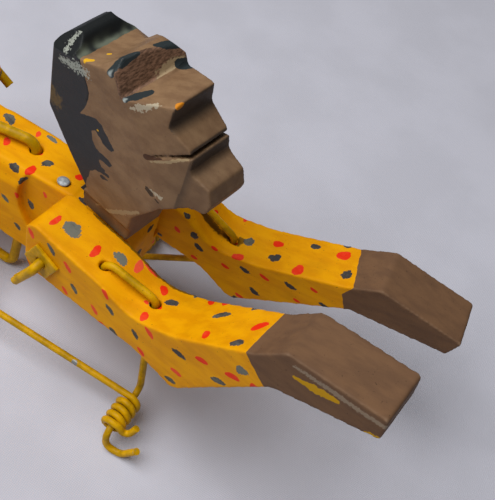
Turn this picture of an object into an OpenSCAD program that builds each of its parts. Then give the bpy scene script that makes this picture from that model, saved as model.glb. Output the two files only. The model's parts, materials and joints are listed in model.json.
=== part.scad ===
// Crawling man automaton: a carved and painted wooden figure whose arms and legs
// swing on wire axles and are joined on each side by a wire rod.
// Units are millimetres. +X is the way the figure crawls, +Y is its left side, +Z is up.
// Inside the modules the origin is a point 3 mm below and 3.8 mm in front of the shoulder
// axle, and place() lifts the whole figure so that its knees and wire tails stand on z = 0.

/* [Stance] */
// Height of both axles above the table
axle_h = 63; // [60:1:68]
// Distance of the shoulder axle behind the middle of the shoulders
axle_back = 3.8; // [2:0.2:4.4]
// Height of the shoulder axle above the middle of the shoulders
axle_up = 3; // [1:0.2:4]
// Distance from the shoulder axle back to the hip axle
axle_gap = 80; // [74:1:90]
// How far the left limbs are turned hand down from the right ones, in degrees
left_turn = 21.4; // [18:0.2:23]
// Depth of the worn flat under each knee
knee_flat = 0.4; // [0.2:0.1:0.8]

/* [Torso] */
// Width of the torso block
torso_w = 28; // [26:1:30]
// Width of the torso where the limbs lie against it
waist_w = 20.4; // [19:0.2:21]
// Height of the back above the shoulder axle
torso_top = 15; // [13:0.5:17]
// Depth of the chest below the shoulder axle
chest_drop = 29; // [26:1:32]
// Depth of the hips below the axle
hip_drop = 20; // [18:1:24]
// Reach of the chest in front of the shoulder axle
chest_front = 19; // [15:1:24]
// Reach of the torso behind the hip axle
rump = 19; // [17:1:24]
// Width of the bevel along the edges of the back
torso_bevel = 5; // [3:0.5:6]
// Height of the bevel along the edges of the back
torso_bevel_h = 9; // [6:0.5:11]
// Radius of the cut that the shoulder lies in
arm_pocket_r = 25; // [24:1:28]
// Radius of the cut that the thigh lies in
leg_pocket_r = 34; // [32:1:36]

/* [Head] */
// Half width of the skull
skull_hw = 12.6; // [11:0.2:13]
// Half width of the face at the nose and lips
face_hw = 8.4; // [7:0.2:10]
// Turn of the head towards the right, in degrees
head_turn = 12; // [0:1:14]
// Sideways offset of the head
head_shift = 1.2; // [0:0.2:2]
// Width of the saw cut that makes the mouth
mouth_kerf = 0.9; // [0.6:0.1:1.4]
// Depth of the saw cut that makes the mouth
mouth_depth = 15; // [8:1:16]
// Side of the cut that slopes the head in towards the nape
nape_cut = 8; // [6:0.5:9]
// Diameter of the neck peg
dowel_d = 9; // [7:0.5:10]
// Length of the peg inside the torso
dowel_in_torso = 26; // [20:1:30]
// Length of the peg inside the head
dowel_in_head = 22; // [16:1:26]
// Shank diameter of the neck nail
nail_d = 1.8; // [1.4:0.1:2.2]
// Head diameter of the neck nail
nail_head_d = 4.2; // [3.4:0.2:5]
// Thickness of the neck nail's head
nail_head_t = 0.9; // [0.6:0.1:1.2]
// Length of the neck nail
nail_len = 30; // [26:1:34]

/* [Limbs] */
// Thickness of the boards that the arms and legs are sawn from
board_t = 20; // [17:0.5:21]
// Distance from the centre plane to the inner face of a limb at its axle
limb_gap = 12; // [11.5:0.1:12.6]
// Angle at which each arm leans outwards, in degrees
splay = 7.6; // [5:0.2:8]
// Reach of the finger tips from the shoulder axle
hand_reach = 126.4; // [122:0.2:130]
// How much further the left hand was sawn than the right one
left_hand_extra = 2.2; // [0:0.2:3]
// Height of the finger tips above the shoulder axle
hand_rise = 57; // [54:0.5:60]
// How much deeper the inside of the left elbow was whittled
left_elbow_cut = 1.5; // [0:0.1:2]
// Thickness of the hands at the finger tips
hand_tip_t = 10.7; // [8:0.1:12]
// Bevel along the edges of the thighs
thigh_bevel = 1; // [0.6:0.1:1.4]
// Radius of the rounded knee
knee_r = 12.4; // [11:0.2:13]
// Half width of the thigh
thigh_hw = 12.4; // [11:0.2:13]
// Slope of the shin above the straight-back line, in degrees
shin_rise = 12; // [11:1:16]
// Length from the knee to the ankle
shin_len = 56; // [50:1:60]
// Length of the foot from the ankle to the toes
foot_len = 36; // [30:1:40]

/* [Wires] */
// Diameter of the wire of the rods and cranks
wire_d = 2.8; // [2.4:0.1:3]
// Diameter of the two axle wires
axle_d = 3.8; // [3.4:0.1:4]
// Diameter of the wire through the back
back_d = 4; // [3.6:0.1:4.2]
// Inside bend radius of the crank wires
bend_r = 2.6; // [2:0.1:3]
// Forward reach of the right crank pins from their axles
right_crank_x = 46.4; // [45:0.2:48]
// Depth of the right crank pins below their axles
right_crank_drop = 51.6; // [50:0.2:52]
// Forward reach of the left crank pins from their axles
left_crank_x = 6.6; // [6:0.2:8]
// Depth of the left crank pins below their axles
left_crank_drop = 57.2; // [56:0.2:57.4]
// Turns in each coiled eye
coil_turns = 4; // [3:1:5]
// Free gap between neighbouring turns
coil_gap = 0.45; // [0.45:0.05:0.7]
// Distance from the centre plane to the rods
rod_y = 34.9; // [34.8:0.1:36]
// Length of the bent-over tails of the axles
tail_len = 15; // [12:1:16]

/* [Plates] */
// Side of the square plates on the axles
plate_w = 11.6; // [10:0.2:12]
// Thickness of the square plates
plate_t = 1.5; // [1:0.1:2]
// Turn of the right shoulder plate, in degrees
plate_turn = 26; // [-45:1:45]

/* [Fits] */
// Radial clearance of a limb on its axle
run_fit = 0.1; // [0.05:0.01:0.15]
// Radial clearance of a fixed wire or peg in its hole
seat_fit = 0.05; // [0.02:0.01:0.1]
// Radial clearance of the wide hand-drilled staple holes
staple_fit = 0.6; // [0.3:0.1:0.8]
// Radial clearance between a coiled eye and its crank pin
coil_fit = 0.8; // [0.5:0.05:0.8]
// Space left between pieces that pass one another
pass_gap = 0.4; // [0.3:0.1:0.8]

/* [Hidden] */

YELLOW = [0.89, 0.64, 0.03];
DARK_YELLOW = [0.78, 0.56, 0.05];
SKIN = [0.46, 0.34, 0.25];
STEEL = [0.45, 0.46, 0.48];
RAW = [0.72, 0.58, 0.4];

leg_turn = left_turn / 2;
wire_r = wire_d / 2;
axle_r = axle_d / 2;
back_r = back_d / 2;
shoulder = [-axle_back, axle_up];
hip = [-axle_back - axle_gap, axle_up];
hip_x = hip[0];
table_z = axle_up - axle_h;
outer_y = limb_gap + board_t;
bore_len = 200;
round_fn = 64;
wire_sides = 10;
arc_step = 15;

// Rounded outlines: each corner is [x, z, radius]
function unit(v) = v / norm(v);
function corner(a, b, c, r) =
    let (p = [b[0], b[1]], u = unit([a[0], a[1]] - p), v = unit([c[0], c[1]] - p),
        half = acos(max(-1, min(1, u * v))) / 2, turn = 180 - 2 * half)
    (r <= 0 || turn < 1) ? [p] :
    let (t = r / tan(half), m = p + unit(u + v) * (r / sin(half)), s = p + u * t - m,
        side = (u[0] * v[1] - u[1] * v[0]) > 0 ? -1 : 1, n = max(2, ceil(turn / 12)))
    [for (i = [0:n]) let (w = side * turn * i / n)
        m + [s[0] * cos(w) - s[1] * sin(w), s[0] * sin(w) + s[1] * cos(w)]];
function rounded(pts) =
    let (n = len(pts))
    [for (i = [0:n - 1]) for (q = corner(pts[(i + n - 1) % n], pts[i], pts[(i + 1) % n], pts[i][2])) q];

// Turn about the Y axis: positive turns take a hand downwards
function turned(p, a) = [p[0] * cos(a) + p[1] * sin(a), -p[0] * sin(a) + p[1] * cos(a)];

// Bent wire: a path with round bends, swept by rings that keep their twist
function bend(a, b, c, r) =
    let (u = unit(a - b), v = unit(c - b), half = acos(max(-1, min(1, u * v))) / 2, turn = 180 - 2 * half)
    turn < 2 ? [b] :
    let (t = r / tan(half), m = b + unit(u + v) * (r / sin(half)), s = unit(b + u * t - m),
        e0 = unit(b + v * t - m), e = unit(e0 - (e0 * s) * s), n = max(2, ceil(turn / arc_step)))
    [for (i = [0:n]) m + r * (s * cos(turn * i / n) + e * sin(turn * i / n))];
function wire_path(p, r) =
    concat([p[0]], [for (i = [1:len(p) - 2]) for (q = bend(p[i - 1], p[i], p[i + 1], r)) q], [p[len(p) - 1]]);
function tangents(p) =
    let (n = len(p))
    [for (i = [0:n - 1]) unit((i < n - 1 ? unit(p[i + 1] - p[i]) : [0, 0, 0]) + (i > 0 ? unit(p[i] - p[i - 1]) : [0, 0, 0]))];
function first_normal(t) = unit(cross(t, abs(t[2]) < 0.9 ? [0, 0, 1] : [1, 0, 0]));
function normals(t) =
    [for (i = 0, n = first_normal(t[0]); i < len(t);
        n = i + 1 < len(t) ? unit(n - (n * t[i + 1]) * t[i + 1]) : n, i = i + 1) n];
function ring(c, t, n, r, k) =
    let (b = cross(t, n)) [for (j = [0:k - 1]) c + r * (n * cos(360 * j / k) + b * sin(360 * j / k))];

// The rings at each end close in, which rounds the cut end of the wire
module tube(path, r, k = wire_sides) {
    t = tangents(path);
    nn = normals(t);
    m = len(path);
    cap = r * 0.35;
    rings = concat(
        [ring(path[0] - t[0] * cap, t[0], nn[0], r * 0.6, k)],
        [for (i = [0:m - 1]) ring(path[i], t[i], nn[i], r, k)],
        [ring(path[m - 1] + t[m - 1] * cap, t[m - 1], nn[m - 1], r * 0.6, k)]);
    c = len(rings);
    pts = [for (g = rings) for (q = g) q];
    sides = [for (i = [0:c - 2]) for (j = [0:k - 1])
        let (a = i * k + j, b = i * k + (j + 1) % k, d = a + k, e = b + k)
        for (f = [[a, b, e], [a, e, d]]) f];
    ends = concat([for (j = [1:k - 2]) [0, j + 1, j]],
        [for (j = [1:k - 2]) let (o = (c - 1) * k) [o, o + j, o + j + 1]]);
    polyhedron(points = pts, faces = [for (f = concat(sides, ends)) [f[0], f[2], f[1]]], convexity = 10);
}

// A flat outline in X and Z, as thick as t towards -Y
module board(pts, t) {
    rotate([90, 0, 0]) linear_extrude(height = t) polygon(pts);
}

// A straight round bar or hole along Y
module along_y(r, y0, y1) {
    translate([0, y1, 0]) rotate([90, 0, 0]) cylinder(r = r, h = y1 - y0, $fn = round_fn);
}

// A slice that bevels an edge running from p to q on the face y = y0
module bevel(p, q, y0, c) {
    d = [q[0] - p[0], q[1] - p[1]];
    translate([p[0], y0, p[1]]) rotate([0, -atan2(d[1], d[0]), 0]) rotate([45, 0, 0])
        translate([-2, -c / sqrt(2), -c / sqrt(2)]) cube([norm(d) + 4, c * sqrt(2), c * sqrt(2)]);
}

// Everything is drawn for the right side and mirrored for the left
module on_side(left) {
    if (left) mirror([0, 1, 0]) children();
    else children();
}

module at_axle(c) {
    translate([c[0], 0, c[1]]) children();
}

// Torso
torso_side = rounded([
    [chest_front - 5, torso_top, 4], [chest_front, 4, 8], [chest_front - 2, -chest_drop + 8, 6],
    [chest_front - 12, -chest_drop, 8], [-34, -chest_drop + 3, 16], [hip_x + 22, -hip_drop, 20],
    [hip_x - 8, -hip_drop - 1, 8], [hip_x - rump, -hip_drop + 9, 8], [hip_x - rump, torso_top - 10, 8],
    [hip_x - rump + 9, torso_top, 8], [-46, torso_top - 1.4, 30]]);
torso_front = [
    [-torso_w / 2, -chest_drop + 3], [-torso_w / 2 + 3, -chest_drop - 1], [torso_w / 2 - 3, -chest_drop - 1],
    [torso_w / 2, -chest_drop + 3], [torso_w / 2, torso_top - torso_bevel_h],
    [torso_w / 2 - torso_bevel * 0.45, torso_top - torso_bevel_h * 0.35], [torso_w / 2 - torso_bevel, torso_top],
    [torso_w / 2 - torso_bevel, torso_top + 1], [-torso_w / 2 + torso_bevel, torso_top + 1],
    [-torso_w / 2 + torso_bevel, torso_top], [-torso_w / 2 + torso_bevel * 0.45, torso_top - torso_bevel_h * 0.35],
    [-torso_w / 2, torso_top - torso_bevel_h]];
neck_x = 7;
neck_z = torso_top - 1;
back_hole_x = -31;
back_rear_x = -68;
back_rear_y = -5.5;
back_bend_z = table_z + back_r + 0.8;
back_lean = 5;
nail_at = [-15, -6.5, torso_top];
nail_dir = unit([neck_x - nail_at[0], -nail_at[1] - head_shift, -12]);
module nail_shape(grow) {
    translate(nail_at) rotate([0, acos(nail_dir[2]), atan2(nail_dir[1], nail_dir[0])]) {
        translate([0, 0, -0.2]) cylinder(r = nail_head_d / 2 + grow, h = nail_head_t, $fn = round_fn);
        translate([0, 0, nail_head_t - 0.3]) cylinder(r = nail_d / 2 + grow, h = nail_len, $fn = round_fn);
    }
}
module nail_seat() {
    nail_shape(seat_fit);
    translate(nail_at) rotate([0, acos(nail_dir[2]), atan2(nail_dir[1], nail_dir[0])])
        translate([0, 0, -6]) cylinder(r = nail_head_d / 2 + seat_fit, h = 6, $fn = round_fn);
}
back_top = [back_hole_x, 0.5, torso_top];
back_leg = [-35, -back_lean, -42];
back_dir = unit(back_leg - back_top);
function back_at(z) = back_top + back_dir * ((z - back_top[2]) / back_dir[2]);
module torso() {
    color(YELLOW) difference() {
        intersection() {
            translate([0, torso_w / 2 + 1, 0]) board(torso_side, torso_w + 2);
            translate([-bore_len, 0, 0]) rotate([90, 0, 90]) linear_extrude(height = 2 * bore_len) polygon(torso_front);
        }
        for (s = [-1, 1]) {
            translate([0, s > 0 ? waist_w / 2 : -waist_w / 2 - 20, 0]) {
                translate([shoulder[0], 20, shoulder[1]]) rotate([90, 0, 0]) cylinder(r = arm_pocket_r, h = 20, $fn = 96);
                translate([hip_x, 20, hip[1]]) rotate([90, 0, 0]) cylinder(r = leg_pocket_r, h = 20, $fn = 96);
                translate([hip_x - leg_pocket_r - 30, 0, -60]) cube([leg_pocket_r + 30, 20, 120]);
            }
        }
        at_axle(shoulder) along_y(axle_r + seat_fit, -bore_len, bore_len);
        at_axle(hip) along_y(axle_r + seat_fit, -bore_len, bore_len);
        translate([neck_x, -head_shift, neck_z - dowel_in_torso]) cylinder(r = dowel_d / 2 + seat_fit, h = dowel_in_torso + 10, $fn = round_fn);
        nail_seat();
        translate(back_top - back_dir * 20) rotate([0, acos(back_dir[2]), atan2(back_dir[1], back_dir[0])])
            cylinder(r = back_r + staple_fit, h = 90, $fn = round_fn);
        translate([back_rear_x, back_rear_y, -60]) cylinder(r = back_r + staple_fit, h = 120, $fn = round_fn);
        translate([0, 0, neck_z]) translate([-8, -torso_w / 2 - 1, 0]) cube([chest_front + 10, torso_w + 2, 10]);
    }
}

// Head: the side outline, narrowed towards the face, with the carved cuts
head_side = rounded([
    [-2, neck_z, 0], [-2.6, 25, 4], [-17, 42.5, 6], [-22.6, 50, 5], [-22.8, 66, 10], [-18.2, 81.4, 7],
    [-12.2, 87, 3], [-7.8, 81.6, 2], [0.5, 84.5, 8], [7, 91, 3], [12.6, 90, 1.2], [15.5, 83.5, 1],
    [28.6, 88.6, 1.2], [28.4, 80.2, 1.5], [36.6, 76.6, 0.8], [38.6, 73.4, 0.8], [39.2, 68.6, 2],
    [46.6, 67, 1.5], [48.8, 61.5, 1.5], [47.8, 57, 1.5], [42.5, 56.4, 2], [33.6, 48.8, 5], [23, 33, 4], [20, neck_z, 0]]);
face_tilt = 33.6;
face_start = 56.6;
face_end = 73;
module face_plan() {
    polygon([[-60, -skull_hw], [face_start, -skull_hw], [face_end, -face_hw], [face_end + 14, -face_hw + 1.6],
        [face_end + 14, face_hw - 1.6], [face_end, face_hw], [face_start, skull_hw], [-60, skull_hw],
        [-60, skull_hw]]);
}
module head() {
    color(SKIN) translate([0, -head_shift, 0]) rotate([0, 0, -head_turn]) difference() {
        intersection() {
            translate([0, skull_hw + 2, 0]) board(head_side, 2 * skull_hw + 4);
            rotate([0, -face_tilt, 0]) translate([0, 0, -60]) linear_extrude(height = 180) face_plan();
            translate([-60, 0, 0]) rotate([90, 0, 90]) linear_extrude(height = 140) polygon([
                [-8.6, neck_z - 1], [-8.6, 20.5], [-11, 24.5], [-skull_hw, 44], [-skull_hw - 0.8, 80], [-skull_hw, 90],
                [-skull_hw + 3, 97], [skull_hw - 3, 97], [skull_hw, 90], [skull_hw + 0.8, 80],
                [skull_hw, 44], [11, 24.5], [8.6, 20.5], [8.6, neck_z - 1]]);
        }
        // The crown, the back of the head and the nape are cut to facets
        for (s = [-1, 1]) {
            translate([-22.8, s * skull_hw, 60]) rotate([0, 0, s * 45]) translate([-3.6, -3.6, -30]) cube([7.2, 7.2, 62]);
            translate([-17.5, s * skull_hw, 83.6]) rotate([s * 45, -14, 0]) translate([-9, -3.8, -3.8]) cube([17, 7.6, 7.6]);
            translate([-14, s * skull_hw, 40]) rotate([0, -38.7, 0]) rotate([0, 0, 45])
                translate([-nape_cut / 2, -nape_cut / 2, -20]) cube([nape_cut, nape_cut, 40]);
        }
        // The mouth is one saw cut across the face
        translate([37.7, 0, 74.7]) rotate([0, -face_tilt, 0])
            translate([-mouth_depth, -30, -mouth_kerf / 2]) cube([mouth_depth + 20, 60, mouth_kerf]);
        rotate([0, 0, head_turn]) translate([neck_x, 0, neck_z - 1]) cylinder(r = dowel_d / 2 + seat_fit, h = dowel_in_head + 1, $fn = round_fn);
    }
}

module neck_dowel() {
    color(RAW) difference() {
        translate([neck_x, -head_shift, neck_z - dowel_in_torso + 0.3]) cylinder(r = dowel_d / 2, h = dowel_in_torso + dowel_in_head - 0.6, $fn = round_fn);
        nail_shape(seat_fit);
    }
}

module neck_nail() {
    color(STEEL) nail_shape(0);
}

// The back wire is one loop through two holes, with its lower run under the belly
back_rise = torso_top + back_r + 0.4;
back_end = back_r * 0.35 + 0.25;
back_loop = [
    [(back_hole_x + back_rear_x) / 2 + back_end, -back_lean, back_bend_z],
    [back_at(back_bend_z)[0], -back_lean - 0.6, back_bend_z], [back_at(back_rise)[0], back_at(back_rise)[1], back_rise],
    [back_rear_x, back_rear_y, back_rise], [back_rear_x, back_rear_y, back_bend_z],
    [(back_hole_x + back_rear_x) / 2 - back_end, -back_lean - 0.1, back_bend_z]];
module back_wire() {
    color(DARK_YELLOW) tube(wire_path(back_loop, back_r + bend_r), back_r, 12);
}

// Axles run straight through and are bent over outside the plates
module tail(y0, dir, plane_y) {
    p = [[0, -y0 + 3, 0], [0, -plane_y, 0], [dir[0], -plane_y, dir[1]]];
    tube(wire_path(p, axle_r + 1.2), axle_r * 0.985, 10);
}
arm_plate_out = limb_gap + (board_t + plate_t) / cos(splay) + (plate_w * 0.71 - axle_back) * tan(splay);
arm_tail_y = arm_plate_out + pass_gap + axle_r;
leg_tail_y = outer_y + plate_t + pass_gap + axle_r;
shoulder_tail = [-7.4, -13.2];
module axle(plane_y, right_dir, left_dir) {
    straight = plane_y - axle_r - 1.2;
    along_y(axle_r, -straight, straight);
    tail(straight, unit(right_dir) * tail_len, plane_y);
    mirror([0, 1, 0]) tail(straight, unit(left_dir) * tail_len, plane_y);
}
module shoulder_axle() {
    color(DARK_YELLOW) at_axle(shoulder) axle(arm_tail_y, shoulder_tail, [-6, -13]);
}
module hip_axle() {
    color(DARK_YELLOW) at_axle(hip) axle(leg_tail_y, [-7, -13], [9, -6]);
}

// Arms
function arm_side(tip, cut) = rounded([
    [-10.4, 19.4, 5.5], [2, 17.2, 10], [24, 14.6, 30], [39, 9.4 - cut, 16], [56, 18.4 - cut * 0.5, 10], [83, 41, 0], [92, 52.5, 3],
    with_r(tip, 1.5), [tip[0] + 1.2, tip[1] - hand_tip_t, 1.5], [92.6, 31.6, 6], [72.5, 4, 10], [61.4, -12, 4],
    [43, -6.4, 14], [24, -7.4, 20], [-9.6, -8.4, 6]]);
right_tip = [hand_reach, hand_rise];
left_tip = [hand_reach + left_hand_extra, hand_rise];
// Each staple is [x, y, height of the wire] at its rear and front holes
right_staple = [[18.3, -27.4, 18], [40, -27.6, 13.1]];
left_staple = [[22, -24, 17.2], [44, -26, 12.6]];
module arm_board(tip, cut, staple) {
    difference() {
        translate([0, -limb_gap, 0]) rotate([0, 0, -splay]) board(arm_side(tip, cut), board_t);
        translate([staple[1][0], staple[1][1], -40]) cylinder(r = wire_r + staple_fit, h = 100, $fn = round_fn);
        translate([staple[0][0], staple[0][1], 1]) cylinder(r = wire_r + staple_fit, h = 60, $fn = round_fn);
    }
}
pin_tail_y = rod_y + coil_turns * (wire_d + coil_gap) + wire_d + pass_gap;
module crank(path_in, pin, y_in, tail_pts) {
    r = wire_r + bend_r;
    tube(wire_path(concat(path_in, [[pin[0], y_in, pin[1]], [pin[0], y_in - 12, pin[1]]]), r), wire_r * 0.985);
    translate([pin[0], 0, pin[1]]) along_y(wire_r, -pin_tail_y + r, y_in - r);
    tube(wire_path(concat([[pin[0], -pin_tail_y + 10, pin[1]], [pin[0], -pin_tail_y, pin[1]]], tail_pts), r), wire_r * 0.985);
}
module arm_wire(pin, tail_pts, staple) {
    rear = staple[0];
    front = staple[1];
    crank([[rear[0], rear[1], 2], rear, front, [front[0], front[1], -10]], pin, front[1] - 0.4, tail_pts);
}
// The tail of each arm's crank pin drops to the table and turns up in front
function table_tail(pin, a, slant) =
    let (low = table_z + wire_r, p1 = turned([pin[0] + slant, low], -a), p2 = turned([pin[0] + slant + 7, low], -a),
        p3 = turned([pin[0] + slant + 12.2, low + 8], -a))
    [[p1[0], -pin_tail_y - 0.4, p1[1]], [p2[0], -pin_tail_y, p2[1]], [p3[0], -pin_tail_y + 0.8, p3[1]]];
right_crank = [right_crank_x, -right_crank_drop];
left_crank = [left_crank_x, -left_crank_drop];
right_pin = shoulder + right_crank;
left_pin = shoulder + left_crank;
left_pin_in_arm = turned(left_pin, -left_turn);
module arm_at(left) {
    on_side(left) rotate([0, left ? left_turn : 0, 0]) children();
}
module arm(left) {
    difference() {
        arm_at(left) arm_board(left ? left_tip : right_tip, left ? left_elbow_cut : 0, left ? left_staple : right_staple);
        at_axle(shoulder) along_y(axle_r + run_fit, -bore_len, bore_len);
    }
}
module right_arm() { color(YELLOW) arm(false); }
module left_arm() { color(YELLOW) arm(true); }
module right_arm_wire() { color(DARK_YELLOW) arm_at(false) arm_wire(right_pin, table_tail(right_pin, 0, 0.8), right_staple); }
module left_arm_wire() { color(DARK_YELLOW) arm_at(true) arm_wire(left_pin_in_arm, table_tail(left_pin, left_turn, 6.4), left_staple); }

// A plate lies flat on the outer face of its limb, at the axle c
module plate(c, lean, turn) {
    face_y = -limb_gap - board_t / cos(lean) - c[0] * tan(lean);
    difference() {
        translate([c[0], face_y, c[1]]) rotate([0, 0, -lean]) rotate([90, 0, 0]) rotate([0, 0, -turn])
            translate([-plate_w / 2, -plate_w / 2, 0]) cube([plate_w, plate_w, plate_t]);
        at_axle(c) along_y(axle_r + run_fit * 2, -bore_len, bore_len);
    }
}
module right_shoulder_plate() { color(DARK_YELLOW) plate(shoulder, splay, plate_turn); }
module left_shoulder_plate() { color(DARK_YELLOW) arm_at(true) plate(turned(shoulder, -left_turn), splay, 6); }

// Legs: thigh down from the hip, knee on the table, shin and bare foot behind
knee_c = (axle_h + knee_flat - knee_r) / cos(leg_turn);
ankle = [-shin_len * cos(shin_rise), -knee_c + shin_len * sin(shin_rise)];
function shin_pt(along, up) =
    [-along * cos(shin_rise) + up * sin(shin_rise), -knee_c + along * sin(shin_rise) + up * cos(shin_rise)];
function with_r(p, r) = [p[0], p[1], r];
leg_side = rounded([
    [-thigh_hw, 0, 0], [thigh_hw, 0, 0], [knee_r, -knee_c, 0], with_r(shin_pt(0, -knee_r), 0),
    with_r(shin_pt(10, -knee_r), 6),
    with_r(shin_pt(shin_len - 4, -7), 10), with_r(shin_pt(shin_len + 8, -8.5), 4),
    with_r(shin_pt(shin_len + foot_len, -5), 2), with_r(shin_pt(shin_len + foot_len + 2, 3), 2),
    with_r(shin_pt(shin_len + 12, 8.5), 6), with_r(shin_pt(shin_len - 6, 6), 10), with_r(shin_pt(24, 11), 8),
    [-thigh_hw + 0.4, -knee_c + 22, 8]]);
leg_staple_up = 15;
leg_staple_low = 33;
leg_mid = limb_gap + board_t / 2;
module leg_at(left) {
    at_axle(hip) on_side(left) rotate([0, left ? leg_turn : -leg_turn, 0]) children();
}
module leg_board(a) {
    difference() {
        translate([0, -limb_gap, 0]) difference() {
            union() {
                board(leg_side, board_t);
                along_y(thigh_hw, -board_t, 0);
                translate([0, 0, -knee_c]) along_y(knee_r, -board_t, 0);
            }
            for (y = [0, -board_t]) {
                bevel([thigh_hw, 0], [thigh_hw, -knee_c], y, thigh_bevel);
                bevel([-thigh_hw, 0], [-thigh_hw + 0.4, -knee_c + 24], y, thigh_bevel);
            }
        }
        along_y(axle_r + run_fit, -bore_len, bore_len);
        rotate([0, -a, 0]) translate([-60, -60, -axle_h - 10]) cube([120, 60, 10]);
        for (z = [leg_staple_low]) translate([-60, -leg_mid, -z]) rotate([0, 90, 0]) cylinder(r = wire_r + staple_fit, h = 120, $fn = round_fn);
        translate([-60, -leg_mid, -leg_staple_up]) rotate([0, 90, 0]) cylinder(r = wire_r + staple_fit, h = 60, $fn = round_fn);
    }
}
module leg_wire(pin) {
    back = -thigh_hw - 4.4;
    crank([[-1.5, -leg_mid, -leg_staple_up], [back, -leg_mid, -leg_staple_up], [back, -leg_mid, -leg_staple_low],
        [thigh_hw + 2.4, -leg_mid, -leg_staple_low]], pin, -leg_mid - 0.4,
        [[pin[0], -pin_tail_y - 0.2, pin[1] + 9]]);
}
right_pin_in_leg = turned(right_crank, leg_turn);
left_pin_in_leg = turned(left_crank, -leg_turn);
module right_leg() { color(YELLOW) leg_at(false) leg_board(-leg_turn); }
module left_leg() { color(YELLOW) leg_at(true) leg_board(leg_turn); }
module right_leg_wire() { color(DARK_YELLOW) leg_at(false) leg_wire(right_pin_in_leg); }
module left_leg_wire() { color(DARK_YELLOW) leg_at(true) leg_wire(left_pin_in_leg); }
module right_hip_plate() { color(DARK_YELLOW) leg_at(false) plate([0, 0], 0, 8); }
module left_hip_plate() { color(DARK_YELLOW) leg_at(true) plate([0, 0], 0, 20); }

// Rods: a coiled eye round each crank pin, wound from the straight run outwards
coil_r = wire_r * 2 + coil_fit;
coil_pitch = wire_d + coil_gap;
coil_rings = 24;
function coil(pin, sense, turns) =
    [for (i = [0:turns * coil_rings]) let (w = 90 + sense * 360 * i / coil_rings)
        [pin[0] + coil_r * cos(w), -rod_y - coil_pitch * i / coil_rings, pin[1] + coil_r * sin(w)]];
function back_list(l) = [for (i = [len(l) - 1:-1:0]) l[i]];
// The front eye ends in a hook that curls up again beside the coil
function hook(e) = [for (q = wire_path([e, e + [3.2, 0.3, -1], e + [6.4, 0.4, -6.2], e + [8.8, 2.6, 0.2]], 2.2)) q];
function rod_points(pin) =
    let (front = coil(pin, -1, coil_turns), rear = coil([pin[0] - axle_gap, pin[1]], 1, coil_turns + 0.25),
        f_hook = hook(front[len(front) - 1]), r_end = rear[len(rear) - 1])
    concat(back_list([for (i = [1:len(f_hook) - 1]) f_hook[i]]), back_list(front), rear, [r_end + [0, -0.2, -3]]);
function least_gap(p) =
    min([for (i = [0:len(p) - 13]) for (j = [i + 12:len(p) - 1]) norm(p[i] - p[j])]) - wire_d;
echo(least_gap_in_coil = least_gap(coil(right_pin, -1, coil_turns)));
module rod(left) {
    on_side(left) tube(rod_points(left ? left_pin : right_pin), wire_r, 6);
}
module right_rod() { color(DARK_YELLOW) rod(false); }
module left_rod() { color(DARK_YELLOW) rod(true); }

// Lift and centre the figure on its own footprint
hand_end = turned([left_tip[0] * cos(splay), left_tip[1]], left_turn)[0] - 0.58;
toe_end = turned(shin_pt(shin_len + foot_len, -5), leg_turn)[0] + 0.16;
origin_x = (hand_end + hip_x + toe_end) / 2;
module place() {
    translate([-origin_x, 0, -table_z]) children();
}

place() torso();
place() head();
place() neck_dowel();
place() neck_nail();
place() back_wire();
place() shoulder_axle();
place() hip_axle();
place() right_arm();
place() right_arm_wire();
place() right_shoulder_plate();
place() left_arm();
place() left_arm_wire();
place() left_shoulder_plate();
place() right_leg();
place() right_leg_wire();
place() right_hip_plate();
place() left_leg();
place() left_leg_wire();
place() left_hip_plate();
place() right_rod();
place() left_rod();
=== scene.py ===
import json
import math

import bmesh
import bpy
import numpy as np
from mathutils import Matrix, Vector, noise

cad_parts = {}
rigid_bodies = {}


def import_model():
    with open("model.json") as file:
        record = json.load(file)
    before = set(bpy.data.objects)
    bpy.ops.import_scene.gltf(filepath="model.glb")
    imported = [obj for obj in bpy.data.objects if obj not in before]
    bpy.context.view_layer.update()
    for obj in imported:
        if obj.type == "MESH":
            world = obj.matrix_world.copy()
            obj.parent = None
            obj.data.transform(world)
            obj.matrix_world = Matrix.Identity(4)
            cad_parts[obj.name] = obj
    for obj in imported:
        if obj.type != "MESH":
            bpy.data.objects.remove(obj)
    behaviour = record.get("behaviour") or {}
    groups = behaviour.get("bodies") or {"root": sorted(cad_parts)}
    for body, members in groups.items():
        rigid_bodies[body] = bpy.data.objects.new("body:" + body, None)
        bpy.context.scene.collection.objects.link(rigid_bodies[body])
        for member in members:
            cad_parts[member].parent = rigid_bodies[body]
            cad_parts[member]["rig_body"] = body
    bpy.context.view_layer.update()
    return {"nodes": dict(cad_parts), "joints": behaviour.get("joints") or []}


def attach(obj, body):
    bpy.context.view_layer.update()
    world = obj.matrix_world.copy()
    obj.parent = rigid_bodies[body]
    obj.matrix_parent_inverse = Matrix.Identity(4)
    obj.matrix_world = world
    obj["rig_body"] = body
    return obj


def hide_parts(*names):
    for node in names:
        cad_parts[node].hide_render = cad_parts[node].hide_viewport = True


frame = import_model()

scene = bpy.context.scene
print("frame loaded:", len(frame["nodes"]), "nodes")

# The carver's own measures, in millimetres from the middle of the shoulders
perMetre = 1000
figure = {
    "shoulder": (-3.8, 3.0), "hip": (-83.8, 3.0), "tableZ": -60.0, "leftTurn": 21.4, "splay": 7.6,
    "limbGap": 12.0, "boardT": 20.0, "headTurn": 12.0, "headShift": 1.2,
}


def inPlane(point):
    # A point of the side view, in the toy's middle plane
    return np.array((point[0], 0, point[1]))


def cosSin(angle):
    return math.cos(math.radians(angle)), math.sin(math.radians(angle))


shoulderJoint = [j for j in frame["joints"] if j["name"] == "right_shoulder"][0]
origin = np.array(shoulderJoint["pos_m"]) - inPlane(figure["shoulder"]) / perMetre


def toFrame(points):
    return np.asarray(points, float) / perMetre + origin


def toFigure(points):
    return (np.asarray(points, float) - origin) * perMetre


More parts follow.
